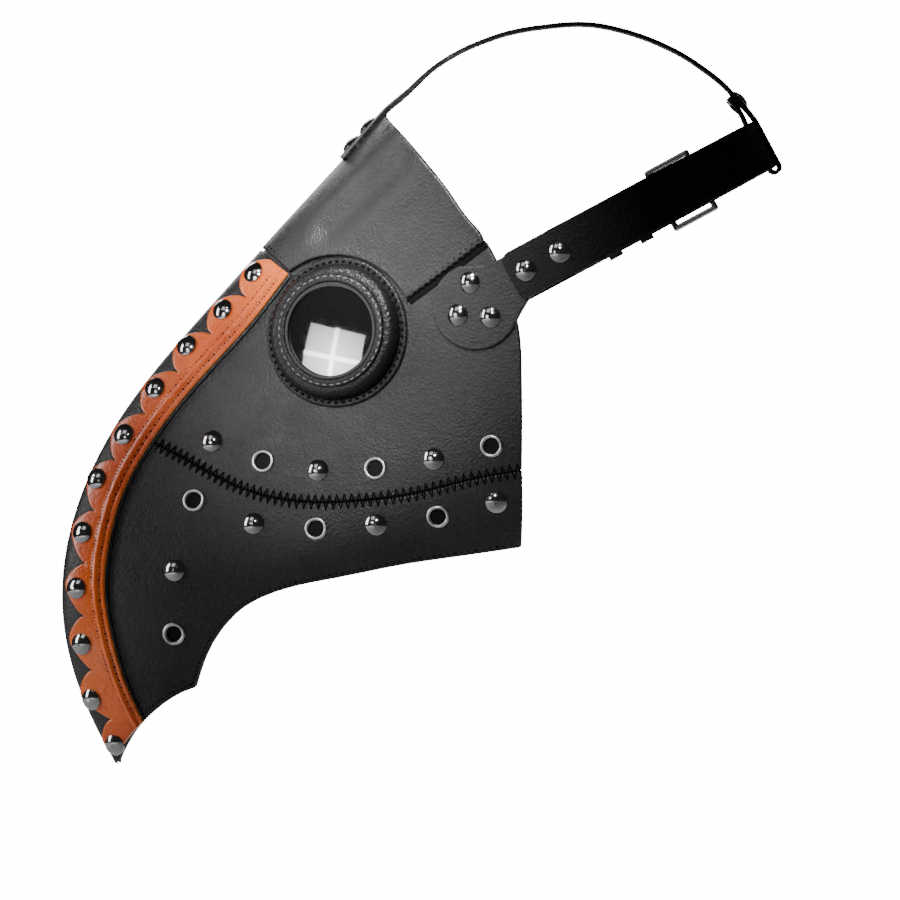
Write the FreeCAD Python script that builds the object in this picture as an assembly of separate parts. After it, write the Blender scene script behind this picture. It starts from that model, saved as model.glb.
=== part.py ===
"""Plague doctor mask: leather shell, scalloped ridge trim, goggle eyepieces, head harness.

Frame: +X to the wearer's left, the beak points along -Y, +Z up. The origin lies on the
centre plane, level with the eyepieces, in the plane of the side panels' rear edges.
All sizes are millimetres.
"""
import FreeCAD, Part
import math
import os

from FreeCAD import Matrix, Placement, Rotation, Vector

# ------------------------------------------------------------------ the shell's form
# Stations from the crown down to the beak's tip: the ridge point (y, z), the point at the
# far edge (y, z), the points between as (fraction of the way, half width), and the half
# width at the far edge.
STATIONS = [
    ((-50, 128), (30, 78), [(0.00, 30), (0.20, 62), (0.50, 76), (0.80, 80)], 79),
    ((-70, 105), (34, 40), [(0.00, 24), (0.20, 52), (0.50, 71), (0.80, 78)], 79),
    ((-111, 61), (36, -20), [(0.00, 14), (0.20, 36), (0.50, 58), (0.80, 74)], 79),
    ((-156.5, 10.5), (34, -95), [(0.00, 9), (0.20, 25), (0.50, 46), (0.80, 68)], 58),
    ((-202.5, -41.5), (-20, -152), [(0.00, 7.5), (0.20, 22), (0.50, 44), (0.80, 53)], 10),
    ((-229, -101), (-112, -152), [(0.00, 7.5), (0.22, 19), (0.50, 33), (0.80, 34)], 6),
    ((-230, -160), (-150, -180), [(0.00, 6.5), (0.24, 14), (0.52, 20), (0.80, 20)], 6),
    ((-210, -202), (-166, -212), [(0.00, 4), (0.26, 9), (0.52, 13), (0.80, 13)], 6),
    ((-193, -229), (-178, -230), [(0.00, 1.5), (0.26, 3), (0.52, 4), (0.80, 5)], 5),
]
DEGREE = 3
S_STEPS = 40
T_STEPS = [0, 0.02, 0.04, 0.06, 0.09, 0.13, 0.18, 0.24, 0.31, 0.39, 0.47, 0.56, 0.65,
           0.74, 0.83, 0.92, 1]

# ------------------------------------------------ layers, measured out from the shell
GAP = 0.05
LINING_LAYER = (-2.6, -1.85)
PANEL_LAYER = (-1.8, 0.0)
BAND_LAYER = (0.05, 1.25)
FOREHEAD_LAYER = (0.05, 1.65)
TRIM_LAYER = (1.3, 2.9)
FLANGE_LAYER = (0.05, 1.65)
TAB_LAYER = (0.05, 1.85)
STRAP_REST = 2.05
STRAP_THICK = 2.0
FOREHEAD_LINING_LAYER = (-0.85, 0.0)

# ---------------------------------------------- outlines seen from the side, as (y, z)
HEM = [(0, -107), (-30.5, -111.5), (-60.5, -116), (-90.5, -122), (-114.5, -127),
       (-126.5, -131), (-138.5, -137.5), (-150.5, -150), (-156.5, -160.5), (-162, -177)]
BEAK_MOUTH = [(-162, -177), (-168.5, -179.5), (-180.5, -187), (-192.5, -199),
              (-198.5, -209), (-206, -226)]
SIDE_REAR = [(-17.4, 43.6), (-14.7, 38.9), (-9, 26), (-5, 14), (-2, 2.5), (-0.4, -18),
             (0, -42.5), (0, -68.6)]
ZIGZAG_SEAM = [(-225, -33), (-203, -45), (-182.5, -55), (-163, -65.3), (-143, -75.8),
               (-125, -81.7), (-104, -84.3), (-80.5, -83.6), (-51.7, -79.7),
               (-25.5, -73.2), (0, -68.6)]
FOREHEAD_REAR = [(-18.4, 44.7), (-19.5, 47.8), (-24.7, 54.2), (-35.3, 68.9),
                 (-45.8, 82.6), (-56.3, 95.2), (-66, 106), (-80, 121)]
TRIM_INNER = [(-103, 44), (-114, 30.2), (-133, 5.7), (-153.4, -16.8), (-175.8, -43.3),
              (-185, -56.5), (-197.3, -79), (-205, -106.5), (-206.9, -125),
              (-204.1, -148.2), (-197.7, -171.4), (-187.9, -193.5), (-178, -210)]
BAND_EXTRA = 1.4
TRIM_VALLEYS = [(-136, 16.9), (-153.4, -1.5), (-170.2, -20.4), (-186.5, -41.3),
                (-201.3, -64.2), (-211.7, -89.2), (-216.3, -115.4), (-217, -141.3),
                (-212.9, -168.1), (-203.5, -192.5)]
TRIM_TOP = (-118, 34)
TRIM_BOTTOM = (-190, -219)
TIP_BEYOND_RIVET = 7.3
LEAST_TIP_REACH = 2.8
TIP_ROUNDING = 0.22
SCALLOP_STEPS = 12
RIDGE_STEPS = 60
SEAM_HALF_GAP = 0.15
PANEL_START = 0.1
TRIM_START = 0.3

# ------------------------------------------------------------------ fasteners, (y, z)
TRIM_RIVETS = [(-132, 29), (-147.5, 10.5), (-165.5, -7.5), (-181.5, -28.5),
               (-197, -51.5), (-210.5, -73.5), (-217.5, -100), (-220.5, -127.5),
               (-218, -155), (-213, -182.5), (-201.5, -205)]
PANEL_RIVETS_UPPER = [(-154, -54), (-101, -68.5), (-43.5, -63)]
PANEL_RIVETS_LOWER = [(-133, -95), (-72, -95.5), (-12.5, -84.5), (-172.5, -118.5)]
EYELETS_UPPER = [(-128.5, -64), (-72.5, -67.5), (-15, -56.5)]
EYELETS_LOWER = [(-163, -83.5), (-102, -97.5), (-41.5, -91.5), (-173, -150)]
TAB_RIVETS = [(-25, 24.5), (-31, 8.5), (-15, 7.5)]
STRAP_RIVETS = [(3, 30.5), (19.5, 39.5)]
TOP_STRAP_RIVET_HEIGHTS = [92, 101]

CAP_RADIUS = 5.3
CAP_EDGE = 0.5
CAP_RISE = 1.9
SHANK_RADIUS = 1.6
SHANK_HOLE = 1.68
SHANK_TAIL = 0.3
SHANK_BITE = 0.2
DRILL_FROM = -8
DRILL_TO = 9
BACK_CAP_RADIUS = 4.2
BACK_CAP_THICK = 0.7
WASHER_CLEARANCE = 0.25
RIM_POINTS = 16
TRIM_BACK_CAP_RADIUS = 3.0
EYELET_OUTER = 5.75
EYELET_BORE = 3.95
EYELET_BARREL = 4.35
EYELET_HOLE = 4.43
EYELET_CURL_RADIUS = 5.3
EYELET_WASHER_RADIUS = 6.2
EYELET_WASHER_THICK = 0.35
SCREEN_LEVELS = (-1.3, -1.0)

# ------------------------------------------------------------------------- eyepieces
EYE_CENTRE = (-91.3, 0)
FLANGE_RADIUS = 37.5
EYE_BORE = 24.3
PAD_FOOT = 34.2
PAD_HEIGHT = 9.2
LIP_RADIUS = 28.2
LENS_RADIUS = 24.1
LENS_LEVELS = (7.6, 9.0)
LENS_RISE = 1.6
LIP_HEIGHT = 1.65
SEAT_BORE = 22.4
SEAT_LEVELS = (5.2, 7.55)
BEZEL_BORE = 22.7
BEZEL_LEVELS = (9.45, 10.7)
EYE_CLEARANCE = 0.3

# --------------------------------------------------------------------------- harness
STRAP_HALF = 12.5
HARNESS_SLOPE = math.radians(28.3)
HARNESS_BASE = (0, 28.9)
# The side run as (distance back along the slope, half width), from the temple round to
# the middle of the back of the head.
SIDE_RUN = [(-12, 71.4), (-7, 72.6), (3, 74.9), (18, 78), (34, 80.6), (50, 82), (61, 82),
            (70, 81), (81, 76.6), (92, 72.2), (103, 67.8), (114, 63.4), (125, 54),
            (132.5, 39), (136, 20), (136.3, 7), (136.3, 0)]
STRAP_START = -6.3
REST_END = 31
FREE_START = 42
HEEL_BAR_AT = 82
TOE_BAR = 22.0
BAR_RADIUS = 1.5
FOLD_INNER = 1.6
BUCKLE_HALF = 15.7
TONGUE_LENGTH = 46
TONGUE_LIFT = 2.2
TONGUE_HOLES = [-26, -11, 34, 49]
TONGUE_HOLE_RADIUS = 1.7
TONGUE_TIP_RADIUS = 16
PRONG_RADIUS = 1.15
PRONG_RING_RADIUS = 2.75
PRONG_RING_WIDTH = 2.6
PRONG_CLEARANCE = 0.08
KEEPER_WALL = 1.5
KEEPER_SIDE_GAP = 0.4
# Each keeper's near edge ahead of the heel bar and its length.
FIXED_KEEPER = (14, 6)
SLIDING_KEEPER = (31, 7)

os.makedirs("parts", exist_ok=True)


# ----------------------------------------------------------------------- basic tools
def clamped_knots(count):
    spans = count - DEGREE
    knots = [i / spans for i in range(spans + 1)]
    return knots, [DEGREE + 1] + [1] * (spans - 1) + [DEGREE + 1]


def shell_surface():
    poles = []
    for (ridge_y, ridge_z), (foot_y, foot_z), middle, foot_x in STATIONS:
        row = [Vector(0, ridge_y, ridge_z)]
        for part, x in middle:
            row.append(Vector(x, ridge_y + (foot_y - ridge_y) * part, ridge_z + (foot_z - ridge_z) * part))
        row.append(Vector(foot_x, foot_y, foot_z))
        poles.append(row)
    s_knots, s_mults = clamped_knots(len(poles))
    t_knots, t_mults = clamped_knots(len(poles[0]))
    surface = Part.BSplineSurface()
    surface.buildFromPolesMultsKnots(poles, s_mults, t_mults, s_knots, t_knots, False, False, DEGREE, DEGREE)
    return surface


SHELL = shell_surface()


def find(y, z):
    """Surface parameters of the left-hand shell point at side-view position (y, z)."""
    best = None
    for i in range(25):
        for j in range(13):
            point = SHELL.value(i / 24, j / 12)
            miss = (point.y - y) ** 2 + (point.z - z) ** 2
            if best is None or miss < best[0]:
                best = (miss, i / 24, j / 12)
    s, t = best[1], best[2]
    step = 1e-4
    for _ in range(30):
        s = min(max(s, 0), 1 - step)
        t = min(max(t, 0), 1 - step)
        here = SHELL.value(s, t)
        along = (SHELL.value(s + step, t) - here) * (1 / step)
        across = (SHELL.value(s, t + step) - here) * (1 / step)
        det = along.y * across.z - along.z * across.y
        dy, dz = y - here.y, z - here.z
        s += (dy * across.z - dz * across.y) / det
        t += (along.y * dz - along.z * dy) / det
    return min(max(s, 0), 1), min(max(t, 0), 1)


def seat(y, z):
    """Placement whose local Z is the shell's outward normal at (y, z)."""
    s, t = find(y, z)
    return Placement(SHELL.value(s, t), Rotation(Vector(0, 0, 1), SHELL.normal(s, t)))


def mirrored(shape):
    return shape.mirror(Vector(0, 0, 0), Vector(1, 0, 0))


def export(shape, name):
    shape.exportStep("parts/%s.step" % name)


def export_pair(shape, name):
    export(shape, name + "_L")
    export(mirrored(shape), name + "_R")


# ----------------------------------------------------------------- sheets of leather
def skin(grid):
    surface = Part.BSplineSurface()
    surface.interpolate(grid)
    return surface.toShape()


def sheet_between(inner_grid, outer_grid):
    """Solid between two matching grids of points."""
    inner = skin(inner_grid)
    outer = skin(outer_grid)
    faces = [inner, outer]
    for inner_edge, outer_edge in zip(inner.Edges, outer.Edges):
        faces.append(Part.makeRuledSurface(inner_edge, outer_edge))
    shell = Part.makeCompound(faces)
    shell.sewShape(1e-3)
    solid = Part.makeSolid(shell.Shells[0])
    if solid.isInside(Vector(0, 0, 5000), 1e-3, True):
        solid.reverse()
    return solid


def shell_grid(height, both_sides):
    grid = []
    for i in range(S_STEPS + 1):
        s = i / S_STEPS
        row = [SHELL.value(s, t) + SHELL.normal(s, t) * height for t in T_STEPS]
        if both_sides:
            row = [Vector(-point.x, point.y, point.z) for point in reversed(row[1:])] + row
        grid.append(row)
    return grid


def layer(heights, both_sides=False):
    return sheet_between(shell_grid(heights[0], both_sides), shell_grid(heights[1], both_sides))


def outline_edges(kind, points):
    vectors = [Vector(0, y, z) for y, z in points]
    if kind == "smooth":
        curve = Part.BSplineCurve()
        curve.interpolate(vectors)
        return [curve.toShape()]
    if kind == "arc":
        return [Part.Arc(*vectors).toShape()]
    return [Part.makeLine(a, b) for a, b in zip(vectors, vectors[1:])]


def prism(pieces, both_sides=False, start=0.0):
    """Block cut out along X from a closed side-view outline."""
    edges = []
    for kind, points in pieces:
        edges += outline_edges(kind, points)
    face = Part.Face(Part.Wire(Part.__sortEdges__(edges)))
    depth = 130.0
    if both_sides:
        face.translate(Vector(-depth, 0, 0))
        return face.extrude(Vector(2 * depth, 0, 0))
    face.translate(Vector(start, 0, 0))
    return face.extrude(Vector(depth, 0, 0))


def rod(radius, low, high, y, z):
    """Cylinder standing on the shell at (y, z), from height low to height high."""
    cylinder = Part.makeCylinder(radius, high - low, Vector(0, 0, low))
    cylinder.Placement = seat(y, z)
    return cylinder


def drill(radius, y, z):
    return rod(radius, DRILL_FROM, DRILL_TO, y, z)


def drilled(shape, places, radius):
    return shape.cut([drill(radius, y, z) for y, z in places])


def revolved(profile):
    """Ring or disc turned about the Z axis from an (r, height) profile."""
    edges = []
    for kind, points in profile:
        vectors = [Vector(r, 0, h) for r, h in points]
        if kind == "arc":
            edges.append(Part.Arc(*vectors).toShape())
        else:
            edges += [Part.makeLine(a, b) for a, b in zip(vectors, vectors[1:])]
    face = Part.Face(Part.Wire(edges))
    return face.revolve(Vector(0, 0, 0), Vector(0, 0, 1), 360)


def turned(profile, y, z):
    """The same, standing on the shell at (y, z)."""
    solid = revolved(profile)
    solid.Placement = seat(y, z)
    return solid


def towards_normal(points, distance):
    """Shift an open side-view line sideways, to the left of its direction."""
    shifted = []
    for i, (y, z) in enumerate(points):
        y0, z0 = points[max(i - 1, 0)]
        y1, z1 = points[min(i + 1, len(points) - 1)]
        length = math.hypot(y1 - y0, z1 - z0)
        shifted.append((y - (z1 - z0) / length * distance, z + (y1 - y0) / length * distance))
    return shifted


# ------------------------------------------------------------------------ the shell
def eye_rod(radius):
    return rod(radius, -16, 24, *EYE_CENTRE)


def around_eye(radius, start, end):
    """Arc about the eyepiece, from one angle to another in degrees, as three points."""
    angles = [math.radians(start + (end - start) * k / 2) for k in range(3)]
    return [(EYE_CENTRE[0] + radius * math.cos(a), EYE_CENTRE[1] + radius * math.sin(a)) for a in angles]


def upper_panel():
    allowance = around_eye(43, 118, 49)
    seam = [(y, z + SEAM_HALF_GAP) for y, z in ZIGZAG_SEAM]
    rear = SIDE_REAR[:-1] + [seam[-1]]
    outline = [("line", [seam[0], (-260, 20), (-136, 62), allowance[0]]),
               ("arc", allowance),
               ("line", [allowance[2], (-50.9, 29.1), (-29, 45), (-20.5, 46.2), rear[0]]),
               ("smooth", rear),
               ("smooth", seam)]
    panel = layer(PANEL_LAYER).common(prism(outline, start=PANEL_START))
    panel = panel.cut(eye_rod(EYE_BORE))
    holes = PANEL_RIVETS_UPPER + TAB_RIVETS + TRIM_RIVETS[:5]
    return drilled(drilled(panel, holes, SHANK_HOLE), EYELETS_UPPER, EYELET_HOLE)


def lower_panel():
    seam = [(y, z - SEAM_HALF_GAP) for y, z in ZIGZAG_SEAM]
    outline = [("smooth", seam),
               ("line", [seam[-1], HEM[0]]),
               ("smooth", HEM),
               ("smooth", BEAK_MOUTH),
               ("line", [BEAK_MOUTH[-1], (-260, -230), (-260, -33), seam[0]])]
    panel = layer(PANEL_LAYER).common(prism(outline, start=PANEL_START))
    holes = PANEL_RIVETS_LOWER + TRIM_RIVETS[4:]
    return drilled(drilled(panel, holes, SHANK_HOLE), EYELETS_LOWER, EYELET_HOLE)


def side_lining():
    front = [(-112, 25), (-129, 4), (-149, -17), (-171, -43), (-181, -57), (-192, -79),
             (-199, -106), (-201, -125), (-198, -148), (-192, -170), (-185.5, -186)]
    outline = [("smooth", front),
               ("line", [front[-1], (-167, -172), (-159.5, -157), (-152, -146)]),
               ("smooth", [(-152, -146), (-139.5, -132.5), (-115, -121.5), (-61, -110.5), (-4, -101.5)]),
               ("line", [(-4, -101.5), (-4, -42)]),
               ("smooth", [(-4, -42), (-6, 2), (-13, 25), (-21.5, 41)]),
               ("line", [(-21.5, 41), (-29, 40.5), (-52, 24)]),
               ("line", [(-52, 24), (-62, 27)]),
               ("arc", [(-62, 27), (-90, 39.5), (-112, 25)])]
    lining = layer(LINING_LAYER).common(prism(outline))
    lining = lining.cut(eye_rod(EYE_BORE + 0.7))
    rivets = PANEL_RIVETS_UPPER + PANEL_RIVETS_LOWER + TAB_RIVETS
    return drilled(drilled(lining, rivets, SHANK_HOLE), EYELETS_UPPER + EYELETS_LOWER, EYELET_HOLE)


def forehead_outline():
    front_end = (-141.5, 53.4)
    eye = around_eye(FLANGE_RADIUS + 0.5, 128, 22.5)
    return [("line", [front_end, eye[0]]),
            ("arc", eye),
            ("line", [eye[2], FOREHEAD_REAR[0]]),
            ("smooth", FOREHEAD_REAR),
            ("line", [FOREHEAD_REAR[-1], (-160, 121), front_end])]


def forehead_panel():
    panel = layer(FOREHEAD_LAYER, True).common(prism(forehead_outline(), True))
    return panel.cut([top_rivet_rod(SHANK_HOLE, height) for height in TOP_STRAP_RIVET_HEIGHTS])


def forehead_lining():
    """Lining under the forehead, short of the side panels' seam allowance."""
    outline = [("line", [(-127, 62), (-108, 46)]),
               ("arc", [(-108, 46), (-88, 47), (-66, 39)]),
               ("line", [(-66, 39), (-50, 33), (-30, 49.5), (-26, 50)]),
               ("smooth", [(-26, 50), (-39, 68), (-59, 93), (-69, 104)]),
               ("line", [(-69, 104), (-90, 125), (-127, 62)])]
    lining = layer(FOREHEAD_LINING_LAYER, True).common(prism(outline, True))
    return lining.cut([top_rivet_rod(SHANK_HOLE, height) for height in TOP_STRAP_RIVET_HEIGHTS])


def ridge_outline():
    """Region round the ridge, between the forehead panel and the beak's mouth."""
    top = [(-108.2, 23.6), (-128, 41.2), (-141.5, 53.1)]
    mouth = BEAK_MOUTH
    return [("line", [(-260, 20), (-260, -226), mouth[-1]]),
            ("smooth", mouth),
            ("line", [mouth[0], (-150, -150), (-108.2, 23.6)]),
            ("line", top + [(-260, 20)])]


def inner_cut(inner_line):
    """Block that keeps only what lies on the ridge's side of the inner line."""
    return [("smooth", inner_line),
            ("line", [inner_line[-1], (-178, -260), (-300, -260), (-300, 80), (-103, 80), inner_line[0]])]


def ridge_band():
    inner_line = towards_normal(TRIM_INNER, BAND_EXTRA)
    band = layer(BAND_LAYER, True).common(prism(ridge_outline(), True))
    band = band.common(prism(inner_cut(inner_line), True))
    clear = eye_rod(FLANGE_RADIUS + EYE_CLEARANCE)
    band = band.cut([clear, mirrored(clear)])
    holes = [drill(SHANK_HOLE, y, z) for y, z in TRIM_RIVETS]
    return band.cut(holes + [mirrored(hole) for hole in holes])


def round_the_ridge(s, distance):
    """Shell point at a distance from the ridge, measured round the section at s."""
    t = 0.0
    travelled = 0.0
    here = SHELL.value(s, 0)
    while travelled < distance:
        t += 0.004
        there = SHELL.value(s, t)
        travelled += there.distanceToPoint(here)
        here = there
    return here, t


def ridge_place(y, z):
    """Place along the ridge and distance from it, round the section, of the point at (y, z)."""
    s, t = find(y, z)
    marks = [SHELL.value(s, t * k / RIDGE_STEPS) for k in range(RIDGE_STEPS + 1)]
    return s, sum(a.distanceToPoint(b) for a, b in zip(marks, marks[1:]))


def scallop_edge(s, start, rivet_place, end, sharpness):
    """Distance of the scalloped edge from the ridge: rounded tip, sharp valleys."""
    middle, rivet_reach = rivet_place
    valley = start if s < middle else end
    away = min(abs((s - middle) / (valley[0] - middle)), 1.0)
    rounded = math.sqrt(1 - away * away)
    full = math.hypot(1, TIP_ROUNDING)
    pointed = (full - math.hypot(away, TIP_ROUNDING)) / (full - TIP_ROUNDING)
    lobe = rounded * (1 - sharpness) + pointed * sharpness
    tip = max(rivet_reach - TIP_BEYOND_RIVET, LEAST_TIP_REACH)
    return valley[1] - (valley[1] - tip) * lobe


def scalloped_trim():
    """Trim strip with one rounded scallop for each rivet along the ridge."""
    valleys = [ridge_place(y, z) for y, z in [TRIM_TOP] + TRIM_VALLEYS + [TRIM_BOTTOM]]
    rivets = [ridge_place(y, z) for y, z in TRIM_RIVETS]
    outline = []
    last = None
    for i, rivet_place in enumerate(rivets):
        start, end = valleys[i], valleys[i + 1]
        sharpness = 0.2 + 0.5 * i / (len(rivets) - 1)
        points = []
        for k in range(SCALLOP_STEPS + 1):
            s = start[0] + (end[0] - start[0]) * k / SCALLOP_STEPS
            place, _ = round_the_ridge(s, scallop_edge(s, start, rivet_place, end, sharpness))
            points.append((place.y, place.z))
        if last is not None:
            points[0] = last
        last = points[-1]
        outline.append(("smooth", points))
    outline.append(("line", [last, (-150, -214), (-103, 20), outline[0][1][0]]))
    trim = layer(TRIM_LAYER).common(prism(outline, start=TRIM_START))
    trim = trim.common(prism(inner_cut(TRIM_INNER)))
    trim = trim.common(prism(ridge_outline()))
    trim = trim.cut(eye_rod(FLANGE_RADIUS + EYE_CLEARANCE))
    return drilled(trim, TRIM_RIVETS, SHANK_HOLE)


# ------------------------------------------------------------------------ fasteners
def crown(radius, edge, rise):
    """Arc from the edge up to the axis, part of a sphere centred on the axis."""
    ball = (radius * radius + rise * rise) / (2 * rise)
    centre = edge + rise - ball
    angle = math.asin(radius / ball) / 2
    return [(radius, edge), (ball * math.sin(angle), centre + ball * math.cos(angle)), (0, edge + rise)]


def dome_cap(base):
    """Low dome with a short straight edge, standing on height base."""
    top = crown(CAP_RADIUS, base + CAP_EDGE, CAP_RISE)
    return [("line", [(0, base), (CAP_RADIUS, base), top[0]]),
            ("arc", top),
            ("line", [top[2], (0, base)])]


def washer_level(place, level, radius):
    """Height at which a flat washer clears the hollow side of a curved layer's face."""
    heights = [level]
    for k in range(RIM_POINTS):
        angle = 2 * math.pi * k / RIM_POINTS
        rim = place.multVec(Vector(radius * math.cos(angle), radius * math.sin(angle), level))
        s, t = SHELL.parameter(Vector(abs(rim.x), rim.y, rim.z))
        face = SHELL.value(s, t) + SHELL.normal(s, t) * level
        face.x = math.copysign(face.x, rim.x)
        heights.append(place.inverse().multVec(face).z)
    return min(heights) - WASHER_CLEARANCE


def placed_rivet(place, base, back):
    """Dome rivet whose shank runs from its cap down to the back of the stack."""
    low = back - BACK_CAP_THICK - SHANK_TAIL
    shank = Part.makeCylinder(SHANK_RADIUS, base + SHANK_BITE - low, Vector(0, 0, low))
    shape = revolved(dome_cap(base)).fuse(shank)
    shape.Placement = place
    return shape


def rivet(y, z, base, back, back_radius=BACK_CAP_RADIUS):
    place = seat(y, z)
    return placed_rivet(place, base, washer_level(place, back, back_radius))


def ring_profile(inner, outer, low, high):
    return [("line", [(inner, low), (outer, low), (outer, high), (inner, high), (inner, low)])]


def placed_cap(place, back, radius=BACK_CAP_RADIUS):
    """Washer that closes a rivet on the inside."""
    top = back - GAP
    washer = revolved(ring_profile(SHANK_HOLE, radius, top - BACK_CAP_THICK, top))
    washer.Placement = place
    return washer


def back_cap(y, z, back, radius=BACK_CAP_RADIUS):
    place = seat(y, z)
    return placed_cap(place, washer_level(place, back, radius), radius)


def eyelet_back(y, z):
    return washer_level(seat(y, z), LINING_LAYER[0], EYELET_WASHER_RADIUS)


def eyelet(y, z):
    bottom = eyelet_back(y, z) - 0.75
    curl = bottom + 0.3
    profile = [("line", [(EYELET_BORE, bottom), (EYELET_CURL_RADIUS, bottom), (EYELET_CURL_RADIUS, curl),
                         (EYELET_BARREL, curl), (EYELET_BARREL, GAP), (EYELET_OUTER, GAP),
                         (EYELET_OUTER, GAP + 0.25)]),
               ("arc", [(EYELET_OUTER, GAP + 0.25), (4.85, 1.1), (EYELET_BORE, 0.3)]),
               ("line", [(EYELET_BORE, 0.3), (EYELET_BORE, bottom)])]
    return turned(profile, y, z)


def eyelet_washer(y, z):
    top = eyelet_back(y, z) - GAP
    return turned(ring_profile(EYELET_HOLE, EYELET_WASHER_RADIUS, top - EYELET_WASHER_THICK, top), y, z)


def vent_screen(y, z):
    """Thin disc in the eyelet's barrel, standing for a fine wire screen."""
    low, high = SCREEN_LEVELS
    radius = EYELET_BORE - GAP
    return turned([("line", [(0, low), (radius, low), (radius, high), (0, high), (0, low)])], y, z)


# ------------------------------------------------------------------------ eyepieces
def eye_flange():
    ring = layer(FLANGE_LAYER).common(eye_rod(FLANGE_RADIUS))
    return ring.cut(eye_rod(EYE_BORE))


def eye_padding():
    """Padded collar that rises off the curved cheek to the level rim of the lens."""
    profile = [("line", [(EYE_BORE, -15), (PAD_FOOT, -15), (PAD_FOOT, -2)]),
               ("arc", [(PAD_FOOT, -2), (32.6, 5.6), (LIP_RADIUS, PAD_HEIGHT)]),
               ("line", [(LIP_RADIUS, PAD_HEIGHT), (EYE_BORE, PAD_HEIGHT), (EYE_BORE, -15)])]
    collar = turned(profile, *EYE_CENTRE)
    cheek = skin(shell_grid(FLANGE_LAYER[1] + GAP, False)).extrude(Vector(-90, 0, 0))
    collar = collar.cut(cheek)
    return max(collar.Solids, key=lambda solid: solid.Volume)


def eye_ring(inner, outer, low, high):
    return turned(ring_profile(inner, outer, low, high), *EYE_CENTRE)


def eye_lens():
    low = crown(LENS_RADIUS, LENS_LEVELS[0], LENS_RISE)[::-1]
    high = crown(LENS_RADIUS, LENS_LEVELS[1], LENS_RISE)
    profile = [("arc", low), ("line", [low[2], high[0]]), ("arc", high), ("line", [high[2], low[0]])]
    return turned(profile, *EYE_CENTRE)


# -------------------------------------------------------------------------- harness
def side_curve():
    curve = Part.BSplineCurve()
    poles = [Vector(e, x, 0) for e, x in SIDE_RUN]
    knots, mults = clamped_knots(len(poles))
    curve.buildFromPolesMultsKnots(poles, mults, knots, False, DEGREE)
    return curve


RUN = side_curve()
RUN_LENGTH = RUN.length()
ALONG = Vector(0, math.cos(HARNESS_SLOPE), math.sin(HARNESS_SLOPE))
ACROSS = Vector(0, -math.sin(HARNESS_SLOPE), math.cos(HARNESS_SLOPE))
BASE = Vector(0, HARNESS_BASE[0], HARNESS_BASE[1])


def run_distance(e):
    """Distance along the side run at which it has come back by e."""
    low, high = 0.0, RUN_LENGTH
    for _ in range(50):
        middle = (low + high) / 2
        if RUN.value(RUN.parameterAtDistance(middle, 0)).x < e:
            low = middle
        else:
            high = middle
    return low


HEEL = run_distance(HEEL_BAR_AT)


def run_frame(distance):
    """Point, direction and outward normal of the harness, left temple to right temple."""
    near_side = distance <= RUN_LENGTH
    d = distance if near_side else 2 * RUN_LENGTH - distance
    parameter = RUN.parameterAtDistance(min(max(d, 0.0), RUN_LENGTH), 0)
    flat = RUN.value(parameter)
    flat_direction = RUN.tangent(parameter)[0]
    point = BASE + ALONG * flat.x + Vector(flat.y, 0, 0)
    direction = ALONG * flat_direction.x + Vector(flat_direction.y, 0, 0)
    normal = ALONG * -flat_direction.y + Vector(flat_direction.x, 0, 0)
    if not near_side:
        point = Vector(-point.x, point.y, point.z)
        direction = Vector(direction.x, -direction.y, -direction.z)
        normal = Vector(-normal.x, normal.y, normal.z)
    return point, direction, normal, flat.x


def resting_point(e, across, height):
    """Strap point where the strap lies on the tab at the temple."""
    reach = min(e, REST_END)
    y = BASE.y + ALONG.y * reach + ACROSS.y * across
    z = BASE.z + ALONG.z * reach + ACROSS.z * across
    s, t = find(y, z)
    return SHELL.value(s, t) + SHELL.normal(s, t) * (STRAP_REST + height)


def strap_point(distance, across, height):
    point, _, normal, e = run_frame(distance)
    free = point + normal * height + ACROSS * across
    if e >= FREE_START:
        return free
    resting = resting_point(e, across, height)
    if e > REST_END:
        slope = resting_point(REST_END, across, height) - resting_point(REST_END - 4, across, height)
        resting = resting + slope * ((e - REST_END) / 4)
    if distance > RUN_LENGTH:
        resting = Vector(-resting.x, resting.y, resting.z)
    part = min(max((e - REST_END) / (FREE_START - REST_END), 0), 1)
    part = part * part * (3 - 2 * part)
    return resting * (1 - part) + free * part


def strap_band(stations, low, high):
    """Strap through the stations; low and high give its faces' heights at a station."""
    widths = [STRAP_HALF * k / 2 for k in (-2, -1, 0, 1, 2)]
    inner = [[strap_point(d, w, low(d)) for w in widths] for d in stations]
    outer = [[strap_point(d, w, high(d)) for w in widths] for d in stations]
    return sheet_between(inner, outer)


def level(height):
    """Strap face at one height all along."""
    return lambda distance: height


def spaced(start, end, step):
    count = max(int(abs(end - start) / step), 4)
    return [start + (end - start) * i / count for i in range(count + 1)]


def strap_end_block():
    """Block that rounds the strap's end corners at the temple."""
    corner = 5.0
    half = STRAP_HALF + 0.02

    def at(e, w):
        point = BASE + ALONG * e + ACROSS * w
        return (point.y, point.z)
    nick = corner * (1 - math.sqrt(0.5))
    start = STRAP_START
    outline = [("arc", [at(start + corner, half), at(start + nick, half - nick), at(start, half - corner)]),
               ("line", [at(start, half - corner), at(start, corner - half)]),
               ("arc", [at(start, corner - half), at(start + nick, nick - half), at(start + corner, -half)]),
               ("line", [at(start + corner, -half), at(20, -half), at(20, -60), at(220, -60), at(220, 60),
                         at(20, 60), at(20, half), at(start + corner, half)])]
    return prism(outline, True)


def local_shape(shape, distance):
    """Place a shape drawn in (along, across, out) axes on the harness at a distance."""
    point, direction, normal, _ = run_frame(distance)
    side = normal.cross(direction)
    matrix = Matrix(direction.x, side.x, normal.x, point.x,
                    direction.y, side.y, normal.y, point.y,
                    direction.z, side.z, normal.z, point.z,
                    0, 0, 0, 1)
    shape.Placement = Placement(matrix)
    return shape


def ease(value):
    value = min(max(value, 0.0), 1.0)
    return value * value * (3 - 2 * value)


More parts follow.
